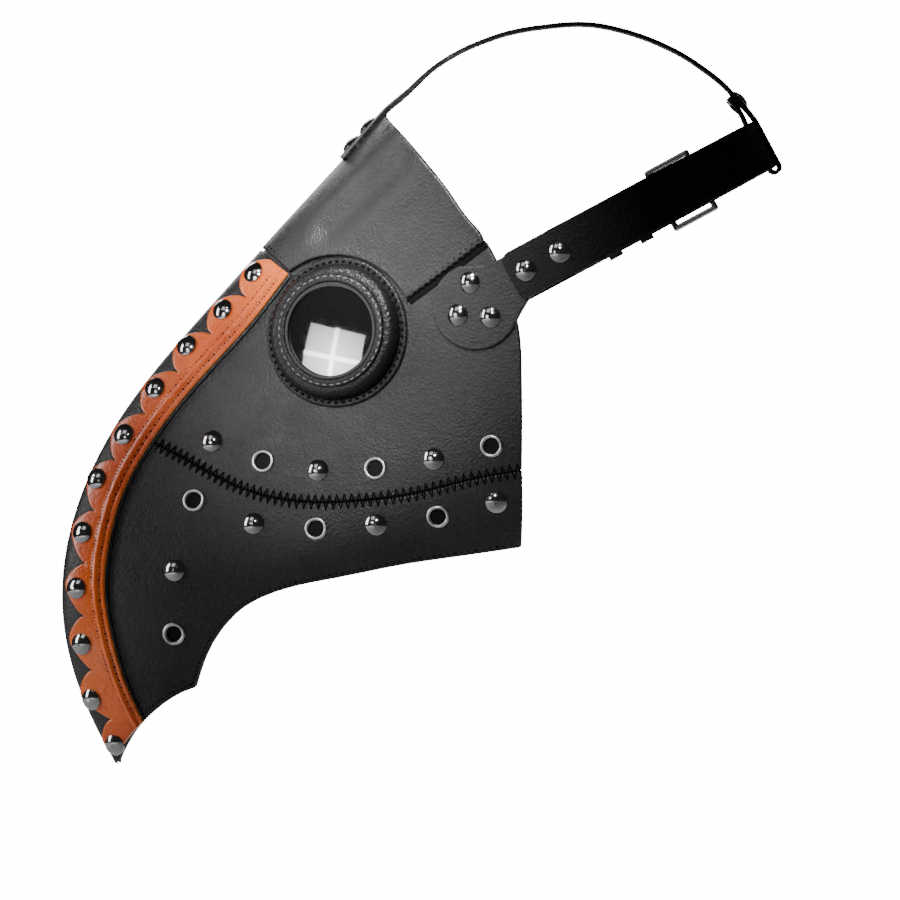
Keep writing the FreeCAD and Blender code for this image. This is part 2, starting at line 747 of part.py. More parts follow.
RIGHT_HEEL = 2 * RUN_LENGTH - HEEL


def strap_left():
    """Long strap: left temple, round the back of the head, tongue through the buckle."""
    end = RIGHT_HEEL + TONGUE_LENGTH

    def low(distance):
        return TONGUE_LIFT * ease((distance - (RIGHT_HEEL - 16)) / 14)

    def high(distance):
        return low(distance) + STRAP_THICK
    start = run_distance(STRAP_START - 2)
    near = strap_band(spaced(start, RUN_LENGTH, 5.0), low, high)
    far = strap_band(spaced(RUN_LENGTH, end, 5.0), low, high)
    strap = near.common(strap_end_block()).fuse(far)
    cutters = []
    for offset in TONGUE_HOLES:
        hole = Part.makeCylinder(TONGUE_HOLE_RADIUS, 14, Vector(0, 0, -5))
        cutters.append(local_shape(hole, RIGHT_HEEL - offset))
    slot_start, slot_end = -5.7, -2.1
    slot = Part.makeBox(slot_end - slot_start, 2 * TONGUE_HOLE_RADIUS, 14,
                        Vector(slot_start, -TONGUE_HOLE_RADIUS, -5))
    for end_of_slot in (slot_start, slot_end):
        slot = slot.fuse(Part.makeCylinder(TONGUE_HOLE_RADIUS, 14, Vector(end_of_slot, 0, -5)))
    cutters.append(local_shape(slot, RIGHT_HEEL))
    strap = strap.cut(cutters)
    tip_cut = Part.makeBox(30, 60, 30, Vector(TONGUE_LENGTH - TONGUE_TIP_RADIUS / 2, -30, -10))
    tip_round = Part.makeCylinder(TONGUE_TIP_RADIUS, 30, Vector(TONGUE_LENGTH - TONGUE_TIP_RADIUS, 0, -10))
    strap = strap.cut(local_shape(tip_cut.cut(tip_round), RIGHT_HEEL))
    return drilled(strap, STRAP_RIVETS, SHANK_HOLE)


def strap_right():
    """Short strap: right temple to the buckle, folded back round the heel bar."""
    def high_return(distance):
        return -2 * FOLD_INNER + (2 * FOLD_INNER - GAP) * ease((distance - RIGHT_HEEL) / 12)

    def low_return(distance):
        return high_return(distance) - STRAP_THICK
    front = 2 * RUN_LENGTH - run_distance(STRAP_START - 2)
    main = strap_band(spaced(RIGHT_HEEL, front, 5.0), level(0.0), level(STRAP_THICK))
    main = main.common(strap_end_block())
    back = strap_band(spaced(RIGHT_HEEL, RIGHT_HEEL + 26, 2.0), low_return, high_return)
    outer = FOLD_INNER + STRAP_THICK
    fold = Part.makeCylinder(outer, 2 * STRAP_HALF, Vector(0, -STRAP_HALF, -FOLD_INNER), Vector(0, 1, 0))
    fold = fold.cut(Part.makeCylinder(FOLD_INNER, 60, Vector(0, -30, -FOLD_INNER), Vector(0, 1, 0)))
    fold = fold.common(Part.makeBox(outer + 1, 60, 30, Vector(-outer - 1, -30, -15)))
    strap = main.fuse([local_shape(fold, RIGHT_HEEL), back])
    slot = Part.makeBox(8.5, 3.8, 20, Vector(-4.2, -1.9, -8))
    strap = strap.cut(local_shape(slot, RIGHT_HEEL))
    return strap.cut([mirrored(drill(SHANK_HOLE, y, z)) for y, z in STRAP_RIVETS])


def buckle_point(along, out, across=0.0):
    """Buckle points: along runs from the heel bar to the toe bar."""
    return Vector(-along, across, out)


def bar_between(start, end, radius):
    direction = end - start
    return Part.makeCylinder(radius, direction.Length, start, direction)


def joined_rods(points, radius):
    shape = None
    for start, end in zip(points, points[1:]):
        piece = bar_between(start, end, radius)
        piece = piece.fuse([Part.makeSphere(radius, start), Part.makeSphere(radius, end)])
        shape = piece if shape is None else shape.fuse(piece)
    return shape


TOE_HEIGHT = STRAP_THICK + 0.15 + BAR_RADIUS


def buckle_frame():
    corners = [buckle_point(0, -FOLD_INNER, -BUCKLE_HALF), buckle_point(TOE_BAR, TOE_HEIGHT, -BUCKLE_HALF),
               buckle_point(TOE_BAR, TOE_HEIGHT, BUCKLE_HALF), buckle_point(0, -FOLD_INNER, BUCKLE_HALF)]
    frame = joined_rods(corners + [corners[0]], BAR_RADIUS)
    return local_shape(frame, RIGHT_HEEL)


def buckle_prong():
    """Prong ringed round the heel bar, up through the tongue and down on the toe bar."""
    ring_start = Vector(0, -PRONG_RING_WIDTH / 2, -FOLD_INNER)
    ring = Part.makeCylinder(PRONG_RING_RADIUS, PRONG_RING_WIDTH, ring_start, Vector(0, 1, 0))
    rest = TOE_HEIGHT + BAR_RADIUS + PRONG_RADIUS + GAP
    points = [buckle_point(1.4, 0.2), buckle_point(4.0, 1.5), buckle_point(6.4, 5.6),
              buckle_point(8.6, rest + 0.25), buckle_point(24.0, rest)]
    prong = ring.fuse(joined_rods(points, PRONG_RADIUS))
    bore = Part.makeCylinder(BAR_RADIUS + PRONG_CLEARANCE, 12, Vector(0, -6, -FOLD_INNER), Vector(0, 1, 0))
    return local_shape(prong.cut(bore), RIGHT_HEEL)


def keeper(place, low, high):
    """Leather loop round the straps, open from height low to height high."""
    start, length = place
    half = STRAP_HALF + KEEPER_SIDE_GAP
    middle = start + length / 2
    outer = Part.makeBox(length, 2 * (half + KEEPER_WALL), high - low + 2 * KEEPER_WALL,
                         Vector(-length / 2, -half - KEEPER_WALL, low - KEEPER_WALL))
    outer = outer.makeFillet(1.2, [edge for edge in outer.Edges if abs(edge.Length - length) < 1e-6])
    inner = Part.makeBox(length + 2, 2 * half, high - low, Vector(-length / 2 - 1, -half, low))
    return local_shape(outer.cut(inner), RIGHT_HEEL + middle)


# ------------------------------------------------------------------------ top strap
FOREHEAD_TOP = FOREHEAD_LAYER[1] + GAP


def ridge_at_height(z):
    low, high = 0.0, 0.4
    for _ in range(50):
        middle = (low + high) / 2
        if SHELL.value(middle, 0).z > z:
            low = middle
        else:
            high = middle
    return low


def top_rivet_place(z):
    s = ridge_at_height(z)
    normal = SHELL.normal(s, 0)
    return Placement(SHELL.value(s, 0), Rotation(Vector(0, 0, 1), normal))


def top_rivet_rod(radius, z):
    cylinder = Part.makeCylinder(radius, 20, Vector(0, 0, -8))
    cylinder.Placement = top_rivet_place(z)
    return cylinder


def forehead_point(s, across, height):
    """Point across from the ridge, measured round the forehead, at a height above it."""
    _, t = round_the_ridge(s, abs(across))
    point = SHELL.value(s, t) + SHELL.normal(s, t) * height
    return Vector(math.copysign(point.x, across), point.y, point.z)


# Middle of the strap's thickness over the head, as (y, z), after it leaves the forehead.
OVER_HEAD = [(-57.2, 120.6), (-47.4, 129.6), (-37.5, 136.6), (-27.6, 142), (-17.7, 146.1),
             (-7.8, 149.4), (2.2, 151.6), (12, 153), (22, 154), (32, 154.2), (42, 153),
             (52, 150.6), (62, 147.4), (72, 143.2), (82, 138), (91.5, 131.6)]
# The strap's rear as (back, up) in the harness's sloping axes: down over the back strap,
# round its lower edge, and up again on the inside.
REAR_DOWN = [(134.2, 35.5), (136.2, 28), (137.9, 21), (139.4, 14), (139.7, 6), (139.6, 0),
             (139.6, -6), (139.6, -12.6)]
REAR_UP = [(134.5, -12.6), (134.5, -6), (134.5, 0), (134.5, 6), (134.6, 12), (135.0, 18),
           (134.6, 23), (133.2, 29)]
FOREHEAD_STATIONS = [85.6, 88, 91, 94, 97, 100, 103, 106, 109]
FLATTENS_OVER = 45.0


def sloping(back, up):
    """Point on the centre plane in the harness's sloping axes."""
    return BASE + ALONG * back + ACROSS * up


def flat_rows(path, start, first_normal=None, last_normal=None):
    """Centre points and normals of a strap on the centre plane, two to each span."""
    curve = Part.BSplineCurve()
    curve.interpolate(path)
    marks = [curve.parameter(point) for point in path]
    rows = []
    for i in range(start, len(path)):
        for k in (1, 2):
            parameter = marks[i - 1] + (marks[i] - marks[i - 1]) * k / 2
            direction = curve.tangent(parameter)[0]
            rows.append((curve.value(parameter), Vector(0, -direction.z, direction.y)))
    if first_normal is not None:
        rows.insert(0, (path[0], first_normal))
    if last_normal is not None:
        rows[-1] = (path[-1], last_normal)
    return rows


def top_strap():
    widths = [STRAP_HALF * k / 4 for k in range(-4, 5)]
    seats = [ridge_at_height(z) for z in FOREHEAD_STATIONS]
    middle = FOREHEAD_TOP + STRAP_THICK / 2
    path = [SHELL.value(s, 0) + SHELL.normal(s, 0) * middle for s in seats]
    lead = len(path)
    path += [Vector(0, y, z) for y, z in OVER_HEAD]
    path += [sloping(back, up) for back, up in REAR_DOWN]

    inner = [[forehead_point(s, w, FOREHEAD_TOP) for w in widths] for s in seats]
    outer = [[forehead_point(s, w, FOREHEAD_TOP + STRAP_THICK) for w in widths] for s in seats]
    last_normal = SHELL.normal(seats[-1], 0)
    drape = [point - path[lead - 1] + last_normal * (STRAP_THICK / 2) for point in inner[-1]]
    drape = [(shift.x, shift.dot(last_normal)) for shift in drape]

    travelled = 0.0
    before = path[lead - 1]
    for centre, normal in flat_rows(path, lead, last_normal=ALONG):
        travelled += centre.distanceToPoint(before)
        before = centre
        bend = 1 - ease(travelled / FLATTENS_OVER)
        for grid, height in ((inner, -STRAP_THICK / 2), (outer, STRAP_THICK / 2)):
            grid.append([centre + normal * (height + drop * bend) + Vector(x * bend + w * (1 - bend), 0, 0)
                         for w, (x, drop) in zip(widths, drape)])
    crown_row = lead + 2 * len(OVER_HEAD) // 2
    pieces = []
    for rows in (slice(0, crown_row + 1), slice(crown_row, None)):
        pieces.append(sheet_between(inner[rows], outer[rows]))

    inner, outer = [], []
    path = [sloping(back, up) for back, up in REAR_UP]
    for centre, normal in flat_rows(path, 1, first_normal=ALONG * -1):
        inner.append([centre - normal * (STRAP_THICK / 2) + Vector(w, 0, 0) for w in widths])
        outer.append([centre + normal * (STRAP_THICK / 2) + Vector(w, 0, 0) for w in widths])
    pieces.append(sheet_between(inner, outer))

    turn_radius = (REAR_DOWN[-1][0] - REAR_UP[0][0]) / 2
    centre = sloping(REAR_UP[0][0] + turn_radius, REAR_UP[0][1]) - Vector(STRAP_HALF, 0, 0)
    across = Vector(1, 0, 0)
    turn = Part.makeCylinder(turn_radius + STRAP_THICK / 2, 2 * STRAP_HALF, centre, across)
    turn = turn.cut(Part.makeCylinder(turn_radius - STRAP_THICK / 2, 2 * STRAP_HALF, centre, across))
    below = Part.makeBox(60, 20, 20, Vector(-30, -10, -20))
    below.Placement = Placement(centre, Rotation(across, math.degrees(HARNESS_SLOPE)))
    pieces.append(turn.common(below))

    strap = pieces[0].fuse(pieces[1:])
    holes = [top_rivet_rod(SHANK_HOLE, z) for z in TOP_STRAP_RIVET_HEIGHTS]
    holes.append(loop_rivet_rod(SHANK_HOLE, -8, 8))
    return strap.cut(holes)


LOOP_RIVET = (136.9, 25)
LOOP_STACK = (-4.1, 1.15)
LOOP_NORMAL = (ALONG * 0.97 + ACROSS * 0.24).normalize()


def loop_place():
    point = BASE + ALONG * LOOP_RIVET[0] + ACROSS * LOOP_RIVET[1]
    return Placement(point, Rotation(Vector(0, 0, 1), LOOP_NORMAL))


def loop_rivet_rod(radius, low, high):
    cylinder = Part.makeCylinder(radius, high - low, Vector(0, 0, low))
    cylinder.Placement = loop_place()
    return cylinder


def strap_tab():
    """Round lobe riveted to the cheek, with a tail that runs out under the strap."""
    def at(e, w):
        point = BASE + ALONG * e + ACROSS * w
        return (point.y, point.z)
    outline = [("arc", [(-29.9, 32.7), (-43.2, 6.5), (-2.3, 5.1)]),
               ("smooth", [(-2.3, 5.1), (0.8, 11), at(0, -11.5)]),
               ("line", [at(0, -11.5), at(25, -10.5)]),
               ("arc", [at(25, -10.5), at(29.5, 0), at(25, 10.5)]),
               ("line", [at(25, 10.5), at(0, 11.5)]),
               ("smooth", [at(0, 11.5), (-17, 33.6), (-29.9, 32.7)])]
    tab = layer(TAB_LAYER).common(prism(outline))
    return drilled(tab, TAB_RIVETS + STRAP_RIVETS, SHANK_HOLE)


# --------------------------------------------------------------------------- export
export_pair(upper_panel(), "upper_side_panel")
export_pair(lower_panel(), "lower_side_panel")
export_pair(side_lining(), "side_lining")
export(forehead_panel(), "forehead_panel")
export(forehead_lining(), "forehead_lining")
export(ridge_band(), "ridge_band")
export_pair(scalloped_trim(), "scalloped_trim")

export_pair(eye_flange(), "eye_flange")
export_pair(eye_padding(), "eye_padding")
export_pair(eye_ring(EYE_BORE, LIP_RADIUS, PAD_HEIGHT + GAP, PAD_HEIGHT + GAP + LIP_HEIGHT), "eye_lip")
export_pair(eye_ring(SEAT_BORE, LENS_RADIUS, *SEAT_LEVELS), "lens_seat")
export_pair(eye_lens(), "lens")
export_pair(eye_ring(BEZEL_BORE, LENS_RADIUS, *BEZEL_LEVELS), "lens_bezel")

PANEL_RIVETS = PANEL_RIVETS_UPPER + PANEL_RIVETS_LOWER
trim_stack = (TRIM_LAYER[1] + GAP, PANEL_LAYER[0], TRIM_BACK_CAP_RADIUS)
export_pair(Part.makeCompound([rivet(y, z, *trim_stack) for y, z in TRIM_RIVETS]), "trim_rivets")
export_pair(Part.makeCompound([back_cap(y, z, PANEL_LAYER[0], TRIM_BACK_CAP_RADIUS) for y, z in TRIM_RIVETS]),
            "trim_rivet_backs")
export_pair(Part.makeCompound([rivet(y, z, GAP, LINING_LAYER[0]) for y, z in PANEL_RIVETS]), "panel_rivets")
export_pair(Part.makeCompound([back_cap(y, z, LINING_LAYER[0]) for y, z in PANEL_RIVETS + TAB_RIVETS]),
            "panel_rivet_backs")
export_pair(Part.makeCompound([rivet(y, z, TAB_LAYER[1] + GAP, LINING_LAYER[0]) for y, z in TAB_RIVETS]),
            "tab_rivets")
export_pair(Part.makeCompound([rivet(y, z, STRAP_REST + STRAP_THICK + GAP, 0.0) for y, z in STRAP_RIVETS]),
            "strap_rivets")
export_pair(Part.makeCompound([back_cap(y, z, 0.0) for y, z in STRAP_RIVETS]), "strap_rivet_backs")
EYELETS = EYELETS_UPPER + EYELETS_LOWER
export_pair(Part.makeCompound([eyelet(y, z) for y, z in EYELETS]), "vent_eyelets")
export_pair(Part.makeCompound([eyelet_washer(y, z) for y, z in EYELETS]), "eyelet_washers")
export_pair(Part.makeCompound([vent_screen(y, z) for y, z in EYELETS]), "vent_screens")

export_pair(strap_tab(), "strap_tab")
export(strap_left(), "strap_left")
export(strap_right(), "strap_right")
export(buckle_frame(), "buckle_frame")
export(buckle_prong(), "buckle_prong")
export(keeper(FIXED_KEEPER, -STRAP_THICK - 0.3, 2 * STRAP_THICK + 0.4), "fixed_keeper")
export(keeper(SLIDING_KEEPER, -0.3, 2 * STRAP_THICK + 0.6), "sliding_keeper")

export(top_strap(), "top_strap")
top_places = [top_rivet_place(z) for z in TOP_STRAP_RIVET_HEIGHTS]
stack_top = FOREHEAD_TOP + STRAP_THICK + GAP
stack_backs = [washer_level(place, FOREHEAD_LINING_LAYER[0], BACK_CAP_RADIUS) for place in top_places]
rivets = [placed_rivet(place, stack_top, back) for place, back in zip(top_places, stack_backs)]
backs = [placed_cap(place, back) for place, back in zip(top_places, stack_backs)]
rivets.append(placed_rivet(loop_place(), LOOP_STACK[1], LOOP_STACK[0]))
backs.append(placed_cap(loop_place(), LOOP_STACK[0]))
export(Part.makeCompound(rivets), "top_strap_rivets")
export(Part.makeCompound(backs), "top_strap_rivet_backs")
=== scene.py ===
"""Looks for the plague doctor mask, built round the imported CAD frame.

Lengths are worked out in millimetres and turned into metres as each mesh is made. The shell
surface is the one part.py builds, so a leather piece lies exactly where its CAD solid does.
"""
import math

import bmesh
import bpy
import numpy as np
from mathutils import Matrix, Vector
from mathutils.geometry import delaunay_2d_cdt


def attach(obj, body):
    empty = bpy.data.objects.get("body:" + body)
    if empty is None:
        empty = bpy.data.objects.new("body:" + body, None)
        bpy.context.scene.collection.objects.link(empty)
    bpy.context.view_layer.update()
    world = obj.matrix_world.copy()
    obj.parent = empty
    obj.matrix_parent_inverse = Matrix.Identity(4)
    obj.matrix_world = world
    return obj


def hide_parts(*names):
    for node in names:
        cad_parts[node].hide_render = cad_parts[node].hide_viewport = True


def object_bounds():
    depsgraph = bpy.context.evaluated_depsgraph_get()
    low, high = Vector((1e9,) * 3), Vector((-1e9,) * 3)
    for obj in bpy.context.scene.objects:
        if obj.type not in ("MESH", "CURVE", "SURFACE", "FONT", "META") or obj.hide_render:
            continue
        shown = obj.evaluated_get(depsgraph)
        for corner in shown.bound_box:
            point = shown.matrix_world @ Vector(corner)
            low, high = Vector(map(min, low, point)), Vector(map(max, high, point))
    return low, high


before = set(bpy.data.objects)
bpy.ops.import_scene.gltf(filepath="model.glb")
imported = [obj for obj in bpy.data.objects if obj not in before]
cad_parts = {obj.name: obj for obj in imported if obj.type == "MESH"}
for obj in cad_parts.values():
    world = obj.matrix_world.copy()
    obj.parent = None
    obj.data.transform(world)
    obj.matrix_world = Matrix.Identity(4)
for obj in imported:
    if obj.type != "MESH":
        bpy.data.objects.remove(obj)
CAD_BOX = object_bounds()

MM = 0.001
MASK = "mask"

# ---- the shell's form
# As in part.py: ridge point (y, z), far edge (y, z), (fraction, half width) between, and
# the half width at the far edge.
STATIONS = [
    ((-50, 128), (30, 78), [(0.00, 30), (0.20, 62), (0.50, 76), (0.80, 80)], 79),
    ((-70, 105), (34, 40), [(0.00, 24), (0.20, 52), (0.50, 71), (0.80, 78)], 79),
    ((-111, 61), (36, -20), [(0.00, 14), (0.20, 36), (0.50, 58), (0.80, 74)], 79),
    ((-156.5, 10.5), (34, -95), [(0.00, 9), (0.20, 25), (0.50, 46), (0.80, 68)], 58),
    ((-202.5, -41.5), (-20, -152), [(0.00, 7.5), (0.20, 22), (0.50, 44), (0.80, 53)], 10),
    ((-229, -101), (-112, -152), [(0.00, 7.5), (0.22, 19), (0.50, 33), (0.80, 34)], 6),
    ((-230, -160), (-150, -180), [(0.00, 6.5), (0.24, 14), (0.52, 20), (0.80, 20)], 6),
    ((-210, -202), (-166, -212), [(0.00, 4), (0.26, 9), (0.52, 13), (0.80, 13)], 6),
    ((-193, -229), (-178, -230), [(0.00, 1.5), (0.26, 3), (0.52, 4), (0.80, 5)], 5),
]
DEGREE = 3
# The flat pattern: u runs down the ridge over this length, v is the distance from the ridge.
PATTERN_LENGTH = 420.0

# ---- outlines seen from the side, (y, z)
HEM = [(0, -107), (-30.5, -111.5), (-60.5, -116), (-90.5, -122), (-114.5, -127),
       (-126.5, -131), (-138.5, -137.5), (-150.5, -150), (-156.5, -160.5), (-162, -177)]
BEAK_MOUTH = [(-162, -177), (-168.5, -179.5), (-180.5, -187), (-192.5, -199),
              (-198.5, -209), (-200.6, -213.4)]
SIDE_REAR = [(-17.4, 43.6), (-14.7, 38.9), (-9, 26), (-5, 14), (-2, 2.5), (-0.4, -18),
             (0, -42.5), (0, -68.6)]
ZIGZAG_SEAM = [(-203, -45), (-182.5, -55), (-163, -65.3), (-143, -75.8), (-125, -81.7),
               (-104, -84.3), (-80.5, -83.6), (-51.7, -79.7), (-25.5, -73.2), (0, -68.6)]
FOREHEAD_REAR = [(-18.4, 44.7), (-19.5, 47.8), (-24.7, 54.2), (-35.3, 68.9),
                 (-45.8, 82.6), (-56.3, 95.2), (-65, 105)]
TRIM_INNER = [(-103, 44), (-114, 30.2), (-133, 5.7), (-153.4, -16.8), (-175.8, -43.3),
              (-185, -56.5), (-197.3, -79), (-205, -106.5), (-206.9, -125),
              (-204.1, -148.2), (-197.7, -171.4), (-187.9, -193.5), (-178, -210)]
TRIM_VALLEYS = [(-118, 34), (-136, 16.9), (-153.4, -1.5), (-170.2, -20.4), (-186.5, -41.3),
                (-201.3, -64.2), (-211.7, -89.2), (-216.3, -115.4), (-217, -141.3),
                (-212.9, -168.1), (-203.5, -192.5), (-190, -219)]
TRIM_RIVETS = [(-132, 29), (-147.5, 10.5), (-165.5, -7.5), (-181.5, -28.5),
               (-197, -51.5), (-210.5, -73.5), (-217.5, -100), (-220.5, -127.5),
               (-218, -155), (-213, -182.5), (-201.5, -205)]
EYELETS_UPPER = [(-128.5, -64), (-72.5, -67.5), (-15, -56.5)]
EYELETS_LOWER = [(-163, -83.5), (-102, -97.5), (-41.5, -91.5), (-173, -150)]
EYE_CENTRE = (-91.3, 0)
BAND_TOP = [(-108.2, 23.6), (-128, 41.2)]
TIP_BEYOND_RIVET = 7.3
LEAST_TIP_REACH = 2.8
TIP_ROUNDING = 0.22
BAND_EXTRA = 1.4
EYE_BORE = 24.3
FLANGE_RADIUS = 37.5
EYELET_HOLE = 4.43
TIP_HEIGHT = -215.4

# ---- surface tables
def clamped_basis(count, values):
    """Cubic basis functions with clamped even knots, one row for each value."""
    knots = np.concatenate([np.zeros(DEGREE), np.linspace(0, 1, count - DEGREE + 1), np.ones(DEGREE)])
    values = np.clip(values, 0, 1 - 1e-9)
    basis = [((a <= values) & (values < b)).astype(float) for a, b in zip(knots, knots[1:])]
    for degree in range(1, DEGREE + 1):
        raised = []
        for i in range(len(knots) - 1 - degree):
            value = np.zeros_like(values)
            rise = knots[i + degree] - knots[i]
            fall = knots[i + degree + 1] - knots[i + 1]
            if rise > 0:
                value = value + (values - knots[i]) / rise * basis[i]
            if fall > 0:
                value = value + (knots[i + degree + 1] - values) / fall * basis[i + 1]
            raised.append(value)
        basis = raised
    return np.stack(basis, -1)


def shell_poles():
    poles = []
    for ridge, foot, middle, foot_x in STATIONS:
        ridge, foot = np.array(ridge, float), np.array(foot, float)
        row = [(0, *ridge)]
        row += [(x, *(ridge + (foot - ridge) * part)) for part, x in middle]
        poles.append(row + [(foot_x, *foot)])
    return np.array(poles, float)


POLES = shell_poles()


def shell(s, t):
    return np.einsum("na,nb,abc->nc", clamped_basis(9, s), clamped_basis(6, t), POLES)


def shell_normal(s, t):
    step = 1e-4
    s = np.clip(s, step, 1 - step)
    t = np.clip(t, step, 1 - step)
    along = shell(s + step, t) - shell(s - step, t)
    across = shell(s, t + step) - shell(s, t - step)
    normal = np.cross(along, across)
    return normal / np.linalg.norm(normal, axis=1, keepdims=True)


ROWS, COLUMNS, REACH_STEP = 241, 401, 0.5
ROW_S, COLUMN_T = np.linspace(0, 1, ROWS), np.linspace(0, 1, COLUMNS)
GRID_S, GRID_T = [g.ravel() for g in np.meshgrid(ROW_S, COLUMN_T, indexing="ij")]
GRID = shell(GRID_S, GRID_T)
GRID_STEPS = np.linalg.norm(np.diff(GRID.reshape(ROWS, COLUMNS, 3), axis=1), axis=2)
REACH = np.concatenate([np.zeros((ROWS, 1)), np.cumsum(GRID_STEPS, axis=1)], axis=1)
REACH_MARKS = np.arange(0, 220, REACH_STEP)
T_AT_REACH = np.array([np.interp(REACH_MARKS, row, COLUMN_T) for row in REACH])


def lookup(table, s, column):
    """Bilinear reading of a table whose rows run over s."""
    row = np.clip(s, 0, 1) * (ROWS - 1)
    i = np.minimum(row.astype(int), ROWS - 2)
    column = np.clip(column, 0, table.shape[1] - 1.001)
    j = column.astype(int)
    a, b = row - i, column - j
    return ((1 - a) * ((1 - b) * table[i, j] + b * table[i, j + 1])
            + a * ((1 - b) * table[i + 1, j] + b * table[i + 1, j + 1]))


def on_shell(pattern, height=0.0):
    """Points over the shell, from pattern places (u, v); v below zero is the right side."""
    s = pattern[:, 0] / PATTERN_LENGTH
    t = lookup(T_AT_REACH, s, np.abs(pattern[:, 1]) / REACH_STEP)
    side = np.where(pattern[:, 1] < 0, -1.0, 1.0)
    point, normal = shell(s, t), shell_normal(s, t)
    normal[np.abs(pattern[:, 1]) < 0.02, 0] = 0
    point = point + normal * np.reshape(height, (-1, 1))
    point[:, 0] *= side
    normal[:, 0] *= side
    return point, normal


SOLVE_ROUNDS = 12
LONGEST_STEP = 0.02
LEAST_DET = 50


def solve(places, measure):
    """Surface parameters at which measure(points) gives the wanted pairs."""
    places = np.asarray(places, float).reshape(-1, 2)
    seen = measure(GRID)
    best = np.array([np.argmin(((seen - p) ** 2).sum(1)) for p in places])
    s, t = GRID_S[best].copy(), GRID_T[best].copy()
    step = 1e-4

    def moved(value, change):
        return np.clip(value + np.clip(change, -LONGEST_STEP, LONGEST_STEP), 0, 1 - step)

    for _ in range(SOLVE_ROUNDS):
        here = measure(shell(s, t))
        ds = (measure(shell(s + step, t)) - here) / step
        dt = (measure(shell(s, t + step)) - here) / step
        det = ds[:, 0] * dt[:, 1] - ds[:, 1] * dt[:, 0]
        det = np.where(np.abs(det) < LEAST_DET, np.copysign(LEAST_DET, det), det)
        miss = places - here
        s = moved(s, (miss[:, 0] * dt[:, 1] - miss[:, 1] * dt[:, 0]) / det)
        t = moved(t, (ds[:, 0] * miss[:, 1] - ds[:, 1] * miss[:, 0]) / det)
    return s, t


def to_pattern(s, t):
    return np.stack([s * PATTERN_LENGTH, lookup(REACH, s, t * (COLUMNS - 1))], -1)


def from_side(places):
    """Pattern places of side-view points."""
    return to_pattern(*solve(places, lambda p: p[:, 1:]))


class Seat:
    """Axes standing on the shell at a side-view point, out along the shell's normal."""

    def __init__(self, place):
        s, t = solve([place], lambda p: p[:, 1:])
        self.centre = shell(s, t)[0]
        self.out = shell_normal(s, t)[0]
        back = np.array([0.0, 1.0, 0.0])
        self.back = back - self.out * back.dot(self.out)
        self.back /= np.linalg.norm(self.back)
        self.up = np.cross(self.out, self.back)

    def local(self, points):
        shift = points - self.centre
        return np.stack([shift @ self.back, shift @ self.up], -1)

    def circle(self, radius, count):
        """Circle about the seat, dropped onto the shell, as pattern places."""
        angle = np.arange(count) * 2 * math.pi / count
        ring = np.stack([np.cos(angle), np.sin(angle)], -1) * radius
        return to_pattern(*solve(ring, self.local))

    def shell_height(self, radius, angles):
        """Height of the shell over the seat's plane, round a circle."""
        ring = np.stack([np.cos(angles), np.sin(angles)], -1) * radius
        s, t = solve(ring, self.local)
        return (shell(s, t) - self.centre) @ self.out

    def point(self, radius, angle, height):
        radius, angle, height = np.broadcast_arrays(radius, angle, height)
        return (self.centre + np.multiply.outer(radius * np.cos(angle), self.back)
                + np.multiply.outer(radius * np.sin(angle), self.up) + np.multiply.outer(height, self.out))


# ---- plane curves
def smooth(points, step=1.2):
    """Natural cubic through the points, spaced out evenly."""
    points = np.asarray(points, float)
    mark = np.concatenate([[0], np.cumsum(np.linalg.norm(np.diff(points, axis=0), axis=1))])
    gap = np.diff(mark)
    count = len(points)
    system = np.eye(count)
    right = np.zeros((count, points.shape[1]))
    for i in range(1, count - 1):
        system[i, i - 1:i + 2] = gap[i - 1], 2 * (gap[i - 1] + gap[i]), gap[i]
        right[i] = 6 * ((points[i + 1] - points[i]) / gap[i] - (points[i] - points[i - 1]) / gap[i - 1])
    bend = np.linalg.solve(system, right)
    at = np.linspace(0, mark[-1], max(int(mark[-1] / step), 2) + 1)
    i = np.clip(np.searchsorted(mark, at, side="right") - 1, 0, count - 2)
    a = ((mark[i + 1] - at) / gap[i])[:, None]
    b = 1 - a
    size = (gap[i] ** 2)[:, None] / 6
    return a * points[i] + b * points[i + 1] + ((a ** 3 - a) * bend[i] + (b ** 3 - b) * bend[i + 1]) * size


def evened(points, step, closed=False):
    """The same line with its points spaced out evenly."""
    points = np.asarray(points, float)
    if closed:
        points = np.vstack([points, points[:1]])
    length = np.concatenate([[0], np.cumsum(np.linalg.norm(np.diff(points, axis=0), axis=1))])
    count = max(int(round(length[-1] / step)), 3)
    at = np.linspace(0, length[-1], count + 1)
    line = np.stack([np.interp(at, length, points[:, k]) for k in range(points.shape[1])], -1)
    return line[:-1] if closed else line


def divided(points, step):
    """Extra points along each side of a closed outline, with its corners kept."""
    out = []
    for a, b in zip(points, np.roll(points, -1, axis=0)):
        count = max(int(np.linalg.norm(b - a) / step), 1)
        out += [a + (b - a) * k / count for k in range(count)]
    out = np.array(out)
    apart = np.linalg.norm(out - np.roll(out, 1, axis=0), axis=1)
    return out[apart > 0.05]


def clipped(polygon, a, b):
    """What lies to the left of the line from a to b."""
    def side(p):
        return (b[0] - a[0]) * (p[1] - a[1]) - (b[1] - a[1]) * (p[0] - a[0])
    out = []
    for p, q in zip(polygon, np.roll(polygon, -1, axis=0)):
        from_p, from_q = side(p), side(q)
        if from_p >= 0:
            out.append(p)
        if from_p * from_q < 0:
            out.append(p + (q - p) * from_p / (from_p - from_q))
    return np.array(out)


def inside(points, loops):
    result = np.zeros(len(points), bool)
    for loop in loops:
        for a, b in zip(loop, np.roll(loop, -1, axis=0)):
            crosses = (a[1] > points[:, 1]) != (b[1] > points[:, 1])
            if a[1] != b[1]:
                at = a[0] + (points[:, 1] - a[1]) * (b[0] - a[0]) / (b[1] - a[1])
                result ^= crosses & (points[:, 0] < at)
    return result


